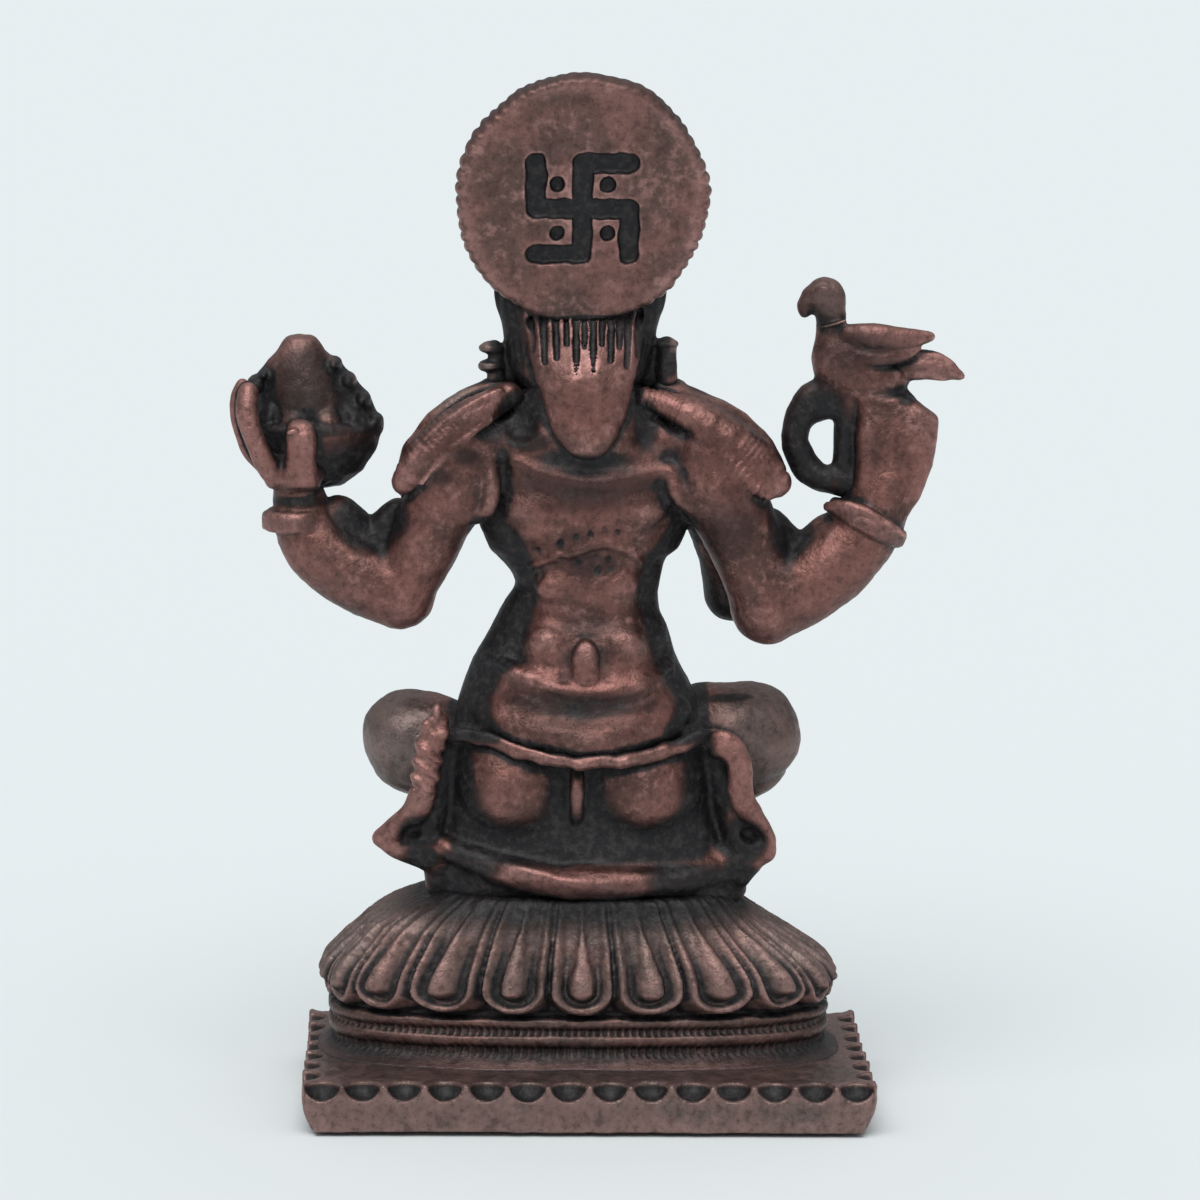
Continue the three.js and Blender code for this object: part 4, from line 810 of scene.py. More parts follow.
def makePotHand(spec):
    wax = Wax(spec["low"], spec["high"], spec["step"], seat)
    # wrist and palm
    wax.roll([(20.4, 0.0, 27.9, 1.8), (20.5, 0.3, 29.0, 1.72), (20.6, 0.9, 30.4, 1.75)], blend=0.4,
             flat=0.9)
    wax.blob((20.5, 1.1, 30.4), (2.05, 1.4, 1.25), blend=0.35)
    # pot: a round bowl with a lip, a little flattened towards the hand
    x, y, rim = spec["rim"]
    wax.lathe([(0.5, -4.7), (2.4, -4.3), (3.8, -3.2), (4.7, -1.7), (5.0, -0.4), (5.15, 0.0), (4.9, 0.4),
               (3.0, 0.7)], (x, y, rim), blend=0.2, deep=spec["squeeze"])
    # coconut, blunt at the top
    wax.stack([(32.5, 2.7, 2.4, -1.5, 19.6), (34.5, 2.85, 2.6, -1.4, 19.6), (36.2, 2.75, 2.5, -1.4, 19.85),
               (38.0, 2.2, 2.0, -1.4, 20.2), (39.3, 1.6, 1.45, -1.4, 20.25), (40.2, 1.0, 0.9, -1.4, 20.25)],
              exponent=2, blend=0.15, edge=0.45)
    # the leaves round the coconut, worn to one ragged mass behind
    wax.stack([(33.2, 4.95, 3.6, -2.3, 19.3), (34.6, 4.35, 3.2, -2.3, 19.5), (35.6, 4.0, 2.8, -2.2, 19.7),
               (36.5, 3.6, 2.4, -2.1, 19.9), (37.5, 3.1, 2.0, -2.0, 20.1), (38.4, 2.4, 1.5, -1.9, 20.2),
               (39.2, 1.5, 1.0, -1.8, 20.2)], exponent=2, blend=0.3, edge=0.4)
    for lx, lz, size in ((15.1, 33.9, 0.8), (15.9, 35.5, 0.7), (16.9, 36.9, 0.7), (17.9, 38.1, 0.6),
                         (23.4, 36.6, 0.8), (22.9, 37.3, 0.5), (15.6, 32.4, 0.8)):
        wax.blob((lx, -1.6, lz), (size, 1.6, size * 0.9), (0, 35, 0), blend=0.25)
    # single leaves at the front and sides, each with a mid rib
    for i in range(spec["leaves"]):
        angle = 2 * math.pi * i / spec["leaves"]
        sin, cos = math.sin(angle), math.cos(angle)
        tall = 4.4 - 2.9 * max(sin, 0) ** 0.5 + 0.5 * (i % 2)
        px, py = x + 4.3 * cos, y + 3.4 * sin
        lean = spec["leafLean"] * tall
        midX, midY, midZ = px - lean * 0.3 * cos, py - lean * 0.3 * sin, rim + 0.4 * tall
        tipX, tipY, tipZ = px - lean * cos, py - lean * sin, rim + 0.95 * tall
        wax.roll([(px, py, rim + 0.1, 0.95), (midX, midY, midZ, 0.95),
                  (tipX + 0.05 * tall, tipY, tipZ, 0.35)], blend=0.15, flat=0.6, facing=(cos, sin, 0))
        wax.roll([(px + 0.5 * cos, py + 0.5 * sin, rim, 0.18),
                  (midX + 0.5 * cos, midY + 0.5 * sin, midZ, 0.2),
                  (tipX + 0.15 * cos, tipY + 0.15 * sin, tipZ, 0.12)], blend=0.15)
    # fingers: two at the outer side, the near one lighter, and a broad short one in the middle
    wax.roll([(21.9, 1.4, 30.3, 1.0), (22.7, 1.8, 31.5, 0.9), (23.5, 2.0, 33.2, 0.86),
              (24.0, 1.8, 34.9, 0.84), (23.9, 1.3, 36.3, 0.74)], blend=0.25)
    wax.roll([(22.8, 0.6, 30.8, 0.6), (24.1, 0.5, 32.3, 0.6), (24.75, 0.2, 34.2, 0.56),
              (24.8, -0.1, 35.8, 0.5), (24.4, -0.2, 36.7, 0.45)], blend=0.15)
    wax.stack([(29.4, 1.35, 1.0, 1.7, 20.1), (31.4, 1.18, 0.95, 2.2, 20.15),
               (33.2, 1.15, 0.95, 2.35, 20.15), (33.9, 1.05, 0.8, 2.25, 20.15),
               (34.6, 0.7, 0.55, 2.0, 20.3)], exponent=2.4, blend=0.3, edge=0.6)
    wax.blob((20.75, 3.1, 33.75), (0.5, 0.35, 0.28), (0, 20, 0), blend=0.15)
    wax.roll([(18.9, 0.2, 30.2, 0.8), (17.6, -0.8, 31.0, 0.75), (16.8, -3.0, 32.0, 0.6)], blend=0.2)
    return wax


# Upper right hand with the parrot; a bent finger closes to a ring beside the palm
parrotHand = {
    "low": (-27.6, -4.2, 39.6), "high": (-12.6, 4.4, 61.4), "step": 0.13,
    "ringCrumple": (3.0, 0.08), "tailPitch": 0.9, "tailDepth": 0.06,
}


def makeParrotHand(spec):
    wax = Wax(spec["low"], spec["high"], spec["step"], seat)
    wax.stack([(25.6, 1.7, 1.3, 0.0, -20.6), (27.4, 2.2, 1.75, 0.1, -21.1), (29.0, 2.5, 1.75, 0.2, -21.8),
               (31.2, 2.8, 1.75, 0.3, -22.3), (33.4, 3.0, 1.7, 0.3, -22.45), (34.8, 2.95, 1.5, 0.2, -22.5),
               (35.6, 2.4, 1.4, 0.1, -22.0), (36.4, 1.9, 1.2, 0.1, -21.4)], exponent=3.4, edge=0.5)
    # the ring
    wax.roll([(-19.2, -0.4, 36.6, 1.15), (-17.4, -0.5, 36.5, 1.12), (-15.95, -0.5, 35.5, 1.15),
              (-15.25, -0.5, 33.6, 1.08), (-15.5, -0.5, 31.9, 1.08), (-16.6, -0.5, 30.5, 1.12),
              (-18.2, -0.5, 30.0, 1.12), (-19.8, -0.4, 29.8, 1.15)], blend=0.3,
             relief=crumple(*spec["ringCrumple"]))
    wax.roll([(-18.85, -0.4, 30.0, 0.95), (-18.8, -0.4, 33.0, 0.92), (-19.1, -0.4, 36.4, 1.1)], blend=0.4)
    wax.roll([(-18.6, -0.5, 35.4, 0.8), (-17.2, -0.5, 35.2, 0.9), (-16.3, -0.5, 34.6, 0.6)], blend=0.4)
    # parrot: body, legs pressed to the hand, neck, head and blunt beak
    wax.blob((-19.2, -0.3, 38.7), (2.9, 1.95, 2.5), (0, 8, 0), blend=0.5)
    wax.blob((-20.4, -0.2, 37.5), (3.0, 1.7, 1.6), blend=0.5)
    wax.roll([(-17.7, -0.3, 39.4, 1.35), (-17.65, -0.35, 40.8, 1.15), (-17.7, -0.4, 42.0, 1.12)], blend=0.5)
    wax.blob((-17.2, -0.4, 43.3), (1.55, 1.4, 1.46), blend=0.5)
    wax.roll([(-16.2, -0.4, 43.2, 0.8), (-15.8, -0.4, 42.6, 0.66), (-15.8, -0.4, 42.2, 0.5)], blend=0.3)
    wax.roll([(-16.4, 0.55, 43.7, 0.14), (-17.0, 0.85, 44.0, 0.2), (-17.7, 0.75, 43.7, 0.14)], blend=0.2)
    wax.roll([(-16.7, 0.75, 41.2, 0.14), (-17.6, 0.95, 41.4, 0.2), (-18.6, 0.7, 41.7, 0.16)], blend=0.25)
    # one thick wing over two smaller feathers, and the tail split by a groove
    wax.roll([(-18.8, 0.6, 40.7, 0.8), (-20.6, 1.05, 40.55, 1.05), (-22.4, 0.95, 40.4, 0.92),
              (-24.1, 0.55, 40.55, 0.58), (-24.75, 0.4, 40.6, 0.36)], blend=0.2, flat=0.8)
    wax.roll([(-18.7, 0.95, 39.3, 0.6), (-20.6, 1.25, 39.05, 0.68), (-22.6, 1.0, 39.25, 0.55),
              (-23.9, 0.6, 39.75, 0.24)], blend=0.12, flat=0.85)
    wax.roll([(-18.5, 0.95, 38.1, 0.36), (-20.4, 1.2, 37.9, 0.42), (-22.4, 0.8, 38.0, 0.3)], blend=0.2)
    wax.roll([(-19.0, -0.9, 40.5, 0.7), (-21.8, -1.5, 40.4, 0.8), (-24.3, -0.8, 40.5, 0.4)], blend=0.15,
             flat=0.85)

    def tailGrooves(along, across):
        return spec["tailDepth"] * np.cos(2 * math.pi * across / spec["tailPitch"])

    wax.roll([(-22.4, 0.0, 38.3, 1.1), (-24.3, 0.0, 38.5, 1.08), (-25.8, 0.0, 38.2, 0.82),
              (-26.8, 0.0, 37.8, 0.5)], blend=0.2, flat=0.65, relief=tailGrooves)
    wax.roll([(-23.6, 0.9, 38.2, 0.1), (-25.2, 0.8, 38.1, 0.14), (-26.6, 0.5, 37.8, 0.1)], blend=0.2,
             cut=True)
    wax.roll([(-22.2, -0.2, 36.9, 0.6), (-23.4, -0.2, 35.9, 0.45)], blend=0.2)
    return wax


# Head: face, hair, crown, ear ornaments and the lock down the nape
head = {
    "low": (-9.6, -10.6, 46.4), "high": (10.8, 6.6, 74), "step": 0.14,
    "middle": 0.25, "hairLines": 19, "crownFlutes": 24, "fluteDepth": 0.07, "crownDrops": 5, "gapTop": 42.2,
    "lock": [   # [height, how far back its middle stands, half width]
        (33.9, 4.3, 2.05), (34.9, 4.5, 2.65), (36.6, 4.45, 3.15), (38.6, 4.0, 3.75), (40.2, 3.05, 4.2),
        (41.0, 2.45, 4.35), (41.9, 1.6, 4.5),
    ],
}
strandGaps = [   # [place across, how low the gap runs]
    (3.75, 39.6), (2.87, 38.9), (2.0, 39.1), (0.63, 38.0), (-0.53, 38.2), (-1.77, 39.0), (-2.97, 38.6),
    (-3.75, 39.3), (1.3, 40.0), (0.05, 39.8), (-1.15, 40.0), (-2.4, 39.9),
]


def makeHead(spec, gaps):
    wax = Wax(spec["low"], spec["high"], spec["step"], seat)
    x = spec["middle"]
    # neck and hair
    wax.roll([(x, -1.6, 33.6, 2.6), (x, -1.8, 37.0, 2.3), (x, -2.2, 40.5, 2.4)], blend=0.5)
    wax.stack([(36.4, 4.4, 2.2, -0.3, 0.3), (39.4, 5.3, 2.4, -0.5, 0.3), (41.0, 5.6, 2.4, -0.7, 0.3),
               (43.4, 6.2, 2.5, -1.0, 0.3), (46.6, 6.0, 2.5, -1.6, x), (50.2, 4.4, 2.6, -1.8, x)],
              exponent=2.2, edge=1.2)
    half = (spec["hairLines"] - 1) / 2
    for i in range(spec["hairLines"]):
        share = (i - half) / half
        lean = 5.6 * math.sin(share * 1.4)
        out = 2.3 * math.cos(share * 1.4)
        wax.roll([(x + lean * 1.1, out - 1.2, 46.0, 0.14), (x + lean * 1.08, out - 0.6, 42.4, 0.2),
                  (x + lean * 0.96, out - 0.3, 38.2, 0.14)], blend=0.22, cut=True)
    # face: a calm, general one on even proportions
    wax.blob((x, -2.5, 44.7), (4.0, 4.2, 5.0), blend=0.6)
    wax.blob((x, -4.4, 41.9), (2.6, 2.2, 2.3), blend=1.0)
    wax.blob((x, -6.0, 40.6), (0.95, 0.7, 0.75), blend=0.6)
    for side in (1, -1):
        wax.blob((x + side * 1.95, -5.1, 42.9), (1.2, 0.9, 1.2), blend=0.9)
        wax.blob((x + side * 1.6, -6.55, 44.75), (1.0, 0.6, 0.62), (0, 0, side * 16), blend=0.5, cut=True)
        wax.blob((x + side * 1.62, -5.95, 44.7), (0.82, 0.62, 0.5), (0, 0, side * 16), blend=0.12)
        wax.roll([(x + side * 0.85, -6.45, 44.6, 0.07), (x + side * 1.65, -6.55, 44.4, 0.08),
                  (x + side * 2.45, -6.05, 44.65, 0.07)], blend=0.1, cut=True)
        wax.roll([(x + side * 0.6, -6.75, 45.5, 0.2), (x + side * 1.6, -6.6, 45.95, 0.22),
                  (x + side * 2.8, -5.75, 45.6, 0.16)], blend=0.3)
    wax.roll([(x, -6.65, 45.6, 0.32), (x, -7.05, 44.5, 0.36), (x, -7.35, 43.55, 0.44)], blend=0.35)
    for side in (1, -1):
        wax.blob((x + side * 0.45, -6.95, 43.4), (0.34, 0.36, 0.28), blend=0.25)
    wax.roll([(x + 0.95, -6.35, 42.25, 0.12), (x + 0.4, -6.75, 42.38, 0.22), (x, -6.8, 42.3, 0.2),
              (x - 0.4, -6.75, 42.38, 0.22), (x - 0.95, -6.35, 42.25, 0.12)], blend=0.15)
    wax.roll([(x + 0.8, -6.4, 42.0, 0.12), (x, -6.75, 41.8, 0.28), (x - 0.8, -6.4, 42.0, 0.12)], blend=0.15)
    wax.roll([(x + 0.9, -6.6, 42.1, 0.05), (x, -6.95, 42.05, 0.06), (x - 0.9, -6.6, 42.1, 0.05)],
             blend=0.08, cut=True)
    wax.blob((x, -6.7, 46.6), (0.26, 0.25, 0.26), blend=0.05)
    # crown: a beaded band and tiers up to the finial
    wax.lathe([(3.9, -0.9), (4.75, -0.6), (4.85, 0.3), (4.4, 0.6), (4.3, 1.3), (4.45, 1.6), (4.1, 2.3),
               (4.15, 3.0), (3.5, 3.3), (3.45, 4.2), (2.8, 4.7), (2.7, 5.6), (2.0, 6.2), (1.7, 7.2),
               (1.0, 7.9), (1.35, 8.7), (0.7, 9.4), (0.15, 10.1)], (x, -3.1, 47.6),
              flutes=spec["crownFlutes"], fluteDepth=spec["fluteDepth"], blend=0.2)
    for i in range(spec["crownDrops"]):
        aside = i - (spec["crownDrops"] - 1) / 2
        angle = math.radians(-90 + aside * 34)
        wax.blob((x + 4.5 * math.cos(angle), -2.6 + 4.5 * math.sin(angle), 49.6 - 0.12 * abs(aside)),
                 (0.6, 0.6, 0.95 - 0.1 * abs(aside)), blend=0.15)
    # ear ornaments: two stacked knobs on the left, one knob on a plain neck on the right
    wax.blob((6.65, -0.4, 39.45), (0.98, 1.0, 0.52), blend=0.08)
    wax.blob((6.65, -0.4, 38.15), (0.98, 1.0, 0.58), blend=0.08)
    wax.roll([(6.3, -0.4, 37.2, 0.7), (6.4, -0.4, 39.5, 0.55)], blend=0.1)
    wax.blob((-5.85, -0.4, 39.85), (0.98, 1.0, 0.45), blend=0.08)
    wax.roll([(-5.95, -0.4, 37.2, 0.85), (-5.9, -0.4, 39.6, 0.78)], blend=0.1)
    for side in (1, -1):
        wax.blob((x + side * 4.9, -3.0, 40.6), (0.6, 1.0, 1.3), blend=0.3)
        wax.roll([(x + side * 5.0, -0.8, 39.6, 0.6), (x + side * 4.9, -1.0, 37.0, 0.7)], blend=0.3)
    # the lock: a smooth tongue that comes out from under the halo
    wax.roll([(0, -1.4, 43.2, 4.7), (0, -0.7, 41.7, 4.5), (0, 0.8, 40.2, 4.2), (0, 2.1, 38.6, 3.75),
              (-0.1, 2.8, 36.6, 3.15), (-0.1, 3.15, 34.9, 2.65), (-0.15, 3.35, 33.9, 2.05)], blend=0.3,
             flat=0.5, facing=(0, 0.96, 0.28))
    # dark gaps between the strands where they come out
    heights, backs, halves = np.array(spec["lock"]).T

    def lockBack(across, z):
        half = np.interp(z, heights, halves)
        arch = math.sqrt(max(1 - (across / half) ** 2, 0))
        return np.interp(z, heights, backs) - 0.5 * half * (1 - arch)

    for across, low in gaps:
        stations = []
        for share in (0, 0.25, 0.5, 0.75, 1):
            z = spec["gapTop"] + (low - spec["gapTop"]) * share
            place = across * (1 + 0.04 * (1 - share))
            stations.append((place, lockBack(place, z) + 0.08, z, 0.27 - 0.12 * share))
        wax.roll(stations, blend=0.3, cut=True)
    return wax


# Halo: a thick disc with a bulging, unevenly nicked rim, the sign cut into its back
halo = {
    "centre": (0.3, 3.2, 50.2), "diameter": 18.2, "thickness": 2.7, "lean": 9.0, "scallops": 62,
    "scallopDepth": 0.16, "edge": 0.45, "bulge": 0.32, "signReach": 3.3, "signDrop": 0.55, "stroke": 1.3,
    "strokeDepth": 0.6, "dotSpacing": 1.78, "dot": 0.95, "step": 0.13,
}


def makeHalo(spec):
    radius = spec["diameter"] / 2
    low = np.array((-radius, -3.4, -radius - 0.4)) + spec["centre"] + seat
    high = np.array((radius, 2.4, radius + 0.4)) + spec["centre"] + seat
    wax = Wax(low - 0.6, high + 0.6, spec["step"], np.array(seat) + spec["centre"])
    spot, x, y, z = wax.window((-radius, -3.4, -radius), (radius, 2.4, radius))
    sin, cos = math.sin(math.radians(spec["lean"])), math.cos(math.radians(spec["lean"]))
    u, v, n = -x, y * sin + z * cos, y * cos - z * sin
    away = np.sqrt(u * u + v * v)
    angle = np.arctan2(v, u)
    drift = 0.9 * np.sin(3 * angle + 0.5) + 0.6 * np.sin(5 * angle + 2.0)
    nicks = np.abs(np.cos(spec["scallops"] * angle / 2 + drift)) ** 0.7
    uneven = 0.05 * np.sin(7 * angle + 1.0) + 0.04 * np.sin(13 * angle)
    middle = n + spec["thickness"] * 0.5
    bulge = spec["bulge"] * (2 * middle / spec["thickness"]) ** 2
    worn = 0.15 + 0.85 * np.abs(np.cos(angle + 0.15)) ** 1.5 * (0.75 + 0.25 * np.sin(11 * angle))
    wall = radius + uneven - spec["scallopDepth"] * worn * (1 - nicks) * 2 - bulge
    dish = 0.1 * np.clip(1 - away / radius, 0, 1) + 0.03 * np.sin(0.9 * u + 0.4) * np.sin(0.8 * v)
    face = np.maximum(n + dish, -n - spec["thickness"])
    wax.press(spot, -softMin(-(away - wall), -face, spec["edge"]), 0)

    def bar(start, end):
        a, b = np.array(start, float), np.array(end, float)
        step = b - a
        t = np.clip(((u - a[0]) * step[0] + (v + spec["signDrop"] - a[1]) * step[1]) / (step @ step), 0, 1)
        return np.sqrt((u - a[0] - t * step[0]) ** 2 + (v + spec["signDrop"] - a[1] - t * step[1]) ** 2)

    r = spec["signReach"]
    sign = np.full(away.shape, farAway, np.float32)
    for start, end in (((0, -r), (0, r)), ((-r, 0), (r, 0)), ((0, r), (r, r)), ((r, 0), (r, -r)),
                       ((0, -r), (-r, -r)), ((-r, 0), (-r, r))):
        sign = np.minimum(sign, bar(start, end) - spec["stroke"] / 2)
    for sx, sy in itertools.product((1, -1), repeat=2):
        across, up = u - sx * spec["dotSpacing"], v + spec["signDrop"] - sy * spec["dotSpacing"]
        sign = np.minimum(sign, np.sqrt(across ** 2 + up ** 2) - spec["dot"] / 2)
    unevenLine = 0.05 * np.sin(2.3 * u + 1.1) * np.sin(2.9 * v) + 0.03 * np.sin(5.7 * u - 3.1 * v)
    cutter = -softMin(-(sign + unevenLine), n + spec["strokeDepth"], 0.25)
    wax.press(spot, cutter, 0.15, cut=True)
    return wax


makers = {
    "plinth": (makePlinth, plinth),
    "drum": (makeDrum, drum, drumProfile, oval),
    "lotus": (makeLotus, lotus, lotusProfile, petalProfile, oval),
    "legs": (makeLegs, legs),
    "trunk": (makeTrunk, trunk),
    "cord": (makeCord, cord),
    "pot_hand": (makePotHand, potHand),
    "parrot_hand": (makeParrotHand, parrotHand),
    "head": (makeHead, head, strandGaps),
    "halo": (makeHalo, halo),
}
waxes = {}
for name, (make, *values) in makers.items():
    waxes[name] = make(*values)
    print("modelled", name, waxes[name].field.shape)


# Surface: hand wobble, then how hollow and how sharp each place is
wobble = {"pitches": (3.2, 1.3, 0.5), "heights": (0.10, 0.055, 0.04), "sink": 0.3, "seed": 7}
# the space around the figure in cells; near and far are how widely its metal is blurred
room = {"low": (-30.0, -15.0, -3.0), "size": (60, 30, 82), "cell": 0.5, "near": 2, "far": 5}
lookAhead = ((0.35, 0.3), (0.7, 0.4), (1.1, 0.3))   # [how far to look for other metal, weight]


def distanceAt(points):
    return np.minimum.reduce([wax.sample(points) for wax in waxes.values()])


def unevenness(points, pitch, seed):
    # smooth noise from -1 to 1, the same for every piece
    count = np.ceil(np.array(room["size"]) / pitch).astype(int) + 3
    lattice = np.random.default_rng(seed).uniform(-1, 1, count).astype(np.float32)
    return between(lattice, (points - room["low"]) / pitch)


def occupied():
    # how much metal fills each cell of the room
    cell, low = room["cell"], np.array(room["low"])
    count = tuple(int(size / cell) for size in room["size"])
    fill = np.zeros(count, np.float32)
    for wax in waxes.values():
        high = wax.low + (np.array(wax.field.shape) - 1) * wax.step
        start = np.maximum(np.ceil((wax.low - low) / cell).astype(int), 0)
        end = np.minimum(np.floor((high - low) / cell).astype(int) + 1, count)
        axes = [np.arange(a, b) for a, b in zip(start, end)]
        grid = np.stack(np.meshgrid(*axes, indexing="ij"), -1).reshape(-1, 3)
        value = wax.sample(grid * cell + low).reshape([len(axis) for axis in axes])
        part = tuple(slice(a, b) for a, b in zip(start, end))
        fill[part] = np.maximum(fill[part], np.clip(0.5 - value / cell, 0, 1))
    return fill


def blur(values, width):
    kernel = np.exp(-0.5 * (np.arange(-3 * width, 3 * width + 1) / width) ** 2)
    kernel /= kernel.sum()
    for axis in range(3):
        values = np.apply_along_axis(lambda row: np.convolve(row, kernel, mode="same"), axis, values)
    return values


fill = occupied()
broad = blur(fill, room["near"])
broader = blur(fill, room["far"])
print("hollows measured")


# Patina left on by hand, as spots [x, y, z, half sizes, amount]: black where a cloth didn't reach,
# and painted shadow along the garlands' inner edges; grey where the plating is thin and cool
blackSpots = [
    # bends of the elbows
    (15.4, 0.2, 26.9, 2.9, 3.5, 2.2, 1.0), (13.3, 0.2, 27.2, 1.4, 3.5, 1.6, 0.9),
    (-14.6, 0.2, 26.3, 2.0, 3.5, 1.9, 1.0), (-13.7, 0.2, 27.2, 0.9, 3.0, 1.8, 1.0),
    # ring
    (-16.6, 0.0, 33.0, 2.75, 3.5, 4.5, 1.0), (-18.8, 0.0, 31.6, 0.75, 3.0, 3.3, 1.0),
    # pot and leaves
    (18.0, -2.2, 31.6, 4.6, 4.3, 3.2, 1.0), (22.4, -1.0, 33.6, 1.2, 2.6, 3.6, 1.0),
    (16.2, -2.0, 34.6, 2.6, 4.2, 2.2, 1.0), (17.3, -1.6, 37.2, 1.0, 4.0, 2.2, 0.8),
    (23.0, -0.8, 36.8, 1.0, 2.0, 1.4, 0.9),
    # wrist
    (20.3, 0.8, 28.5, 2.3, 2.4, 0.45, 0.75),
    # beside the lock
    (4.7, 2.0, 34.9, 1.5, 3.0, 1.9, 1.0), (4.0, 2.5, 33.2, 1.8, 2.5, 0.9, 0.7),
    (-4.4, 2.0, 34.2, 1.0, 3.0, 2.0, 0.75), (0.0, 3.0, 31.9, 4.2, 2.0, 0.8, 0.55),
    # hair
    (5.4, 0.0, 40.0, 1.4, 3.4, 3.4, 0.9), (-4.9, 0.0, 40.0, 1.3, 3.4, 3.6, 0.95),
    (5.6, 0.0, 43.6, 1.2, 3.4, 2.0, 0.9), (-5.3, 0.0, 43.6, 1.2, 3.4, 2.0, 0.9),
    # ear ornaments, and the garlands beside them
    (-5.9, 0.0, 38.4, 1.2, 2.0, 1.0, 0.8), (6.6, 0.0, 38.8, 1.2, 2.0, 0.35, 0.8),
    (7.8, -1.0, 37.0, 1.4, 1.6, 0.6, 0.45), (-8.6, -1.0, 36.6, 2.6, 1.6, 0.8, 0.6),
    # seat beside the hips
    (8.6, 3.0, 7.6, 1.1, 3.0, 4.4, 1.0), (-8.7, 3.0, 7.6, 1.6, 3.0, 4.4, 1.0),
    (1.75, 4.0, 7.4, 0.7, 3.0, 2.6, 0.9), (-1.1, 4.0, 7.2, 0.7, 3.0, 2.6, 0.9),
    (9.9, 1.4, 7.4, 0.9, 2.6, 4.0, 0.9), (-9.9, 1.4, 7.2, 0.9, 2.6, 4.0, 0.9),
    # waist beside the belt
    (8.2, 1.5, 13.4, 1.3, 4.0, 1.6, 0.9), (-7.8, 1.5, 13.4, 1.2, 4.0, 1.6, 0.9),
    # sashes and their knots
    (11.6, 2.6, 4.9, 1.6, 2.0, 1.5, 1.0), (11.3, 1.4, 2.9, 1.7, 2.4, 1.2, 0.9),
    (-11.7, 2.2, 4.2, 1.9, 2.2, 1.9, 1.0), (-11.2, 1.4, 1.6, 1.8, 2.6, 1.8, 1.0),
    (-9.3, 3.6, 9.8, 0.8, 1.4, 1.4, 0.8), (-10.8, -1.0, 13.9, 2.2, 2.4, 0.3, 0.8),
    (11.4, 0.6, 13.2, 0.8, 1.6, 1.4, 0.5),
    # between the hem and the lotus
    (0.0, 3.0, -0.6, 12.0, 5.0, 1.2, 1.0), (-8.6, 3.4, 1.2, 3.6, 2.2, 1.6, 0.85),
    (9.2, 2.6, 1.0, 2.6, 2.2, 1.4, 0.7),
    # back and belt
    (0.2, 3.5, 25.6, 2.8, 1.5, 1.7, 0.3), (0.0, 3.5, 29.2, 5.0, 1.5, 0.8, 0.2),
    (0.0, 4.0, 14.1, 5.4, 2.0, 0.6, 0.3),
    # parrot's neck, beak and tail, and the coconut's foot
    (-17.0, 0.4, 41.6, 1.6, 1.6, 0.6, 0.5), (-15.9, 0.0, 42.3, 0.9, 1.6, 0.8, 0.5),
    (-23.0, 0.2, 36.2, 0.9, 1.6, 0.9, 0.9), (19.5, -0.6, 33.7, 4.4, 3.2, 0.9, 1.0),
    # hem
    (8.0, 4.0, 2.6, 3.2, 2.0, 1.4, 0.75), (-6.8, 4.0, 1.6, 3.8, 2.0, 1.4, 0.85),
    (0.0, 4.4, 1.2, 7.0, 2.4, 1.4, 0.42),
    # browner, not black
    (19.8, 0.0, 36.6, 2.6, 3.0, 3.6, 0.52), (0.0, 3.2, 30.0, 6.6, 2.0, 2.2, 0.46),
    (-10.6, 2.0, 27.4, 2.8, 3.0, 3.6, 0.44), (9.8, 2.0, 27.6, 2.2, 3.0, 2.6, 0.15),
    (0.0, 4.0, 14.4, 6.2, 2.0, 1.2, 0.52), (-20.0, 0.0, 39.6, 4.6, 3.0, 2.6, 0.45),
    (-17.2, 0.0, 43.2, 2.0, 2.0, 1.8, 0.36), (9.6, 2.4, 33.6, 3.8, 2.4, 3.4, 0.36),
    (-10.0, 2.4, 33.0, 4.2, 2.4, 3.4, 0.3), (0.0, 3.0, 40.6, 4.2, 3.0, 1.1, 0.4),
    (0.2, 3.0, 25.2, 3.0, 2.0, 2.0, 0.33), (13.6, -3.0, 11.0, 4.4, 6.0, 5.0, 0.14),
    (-13.4, -3.0, 11.0, 4.8, 6.0, 5.4, 0.24), (0.0, 3.2, 19.8, 3.6, 2.0, 0.7, 0.3),
    (-0.6, 3.4, 24.2, 2.6, 2.0, 1.2, 0.45), (0.0, 4.2, 12.8, 6.4, 2.4, 1.8, 0.33),
    # painted shadow along the inner edges of the garlands, and a darker band along the cord
    (6.6, 3.0, 33.6, 1.3, 2.0, 0.8, 0.6), (8.4, 3.0, 32.1, 1.3, 2.0, 0.8, 0.55),
    (10.1, 3.0, 30.6, 1.1, 2.0, 0.8, 0.5), (-7.6, 3.0, 32.4, 1.6, 2.0, 0.9, 0.35),
    (-10.4, 3.0, 29.8, 1.4, 2.0, 0.9, 0.35), (0.4, 5.0, 10.3, 10.0, 2.0, 0.9, 0.2),
]
greySpots = [
    (13.6, -3.0, 10.8, 4.0, 6.0, 5.0, 0.9), (-13.4, -3.0, 11.2, 4.6, 6.0, 5.4, 0.7),
    (6.7, -0.4, 38.8, 1.4, 2.0, 1.6, 1.0), (-5.9, -0.4, 39.2, 1.4, 2.0, 1.6, 1.0),
    (9.4, -1.0, 36.0, 3.2, 1.6, 1.6, 1.0), (-9.0, -1.0, 36.4, 3.2, 1.6, 1.4, 0.9),
    (18.0, -1.3, -3.6, 7.5, 8.0, 6.5, 0.9), (-17.0, -1.3, -3.6, 7.0, 8.0, 6.5, 0.8),
    (0.0, 4.0, -1.4, 18.0, 7.0, 1.8, 0.7), (19.6, 0.0, 36.5, 3.0, 3.0, 3.5, 0.5),
    (-17.3, 0.0, 43.2, 2.0, 2.0, 2.0, 0.5),
]


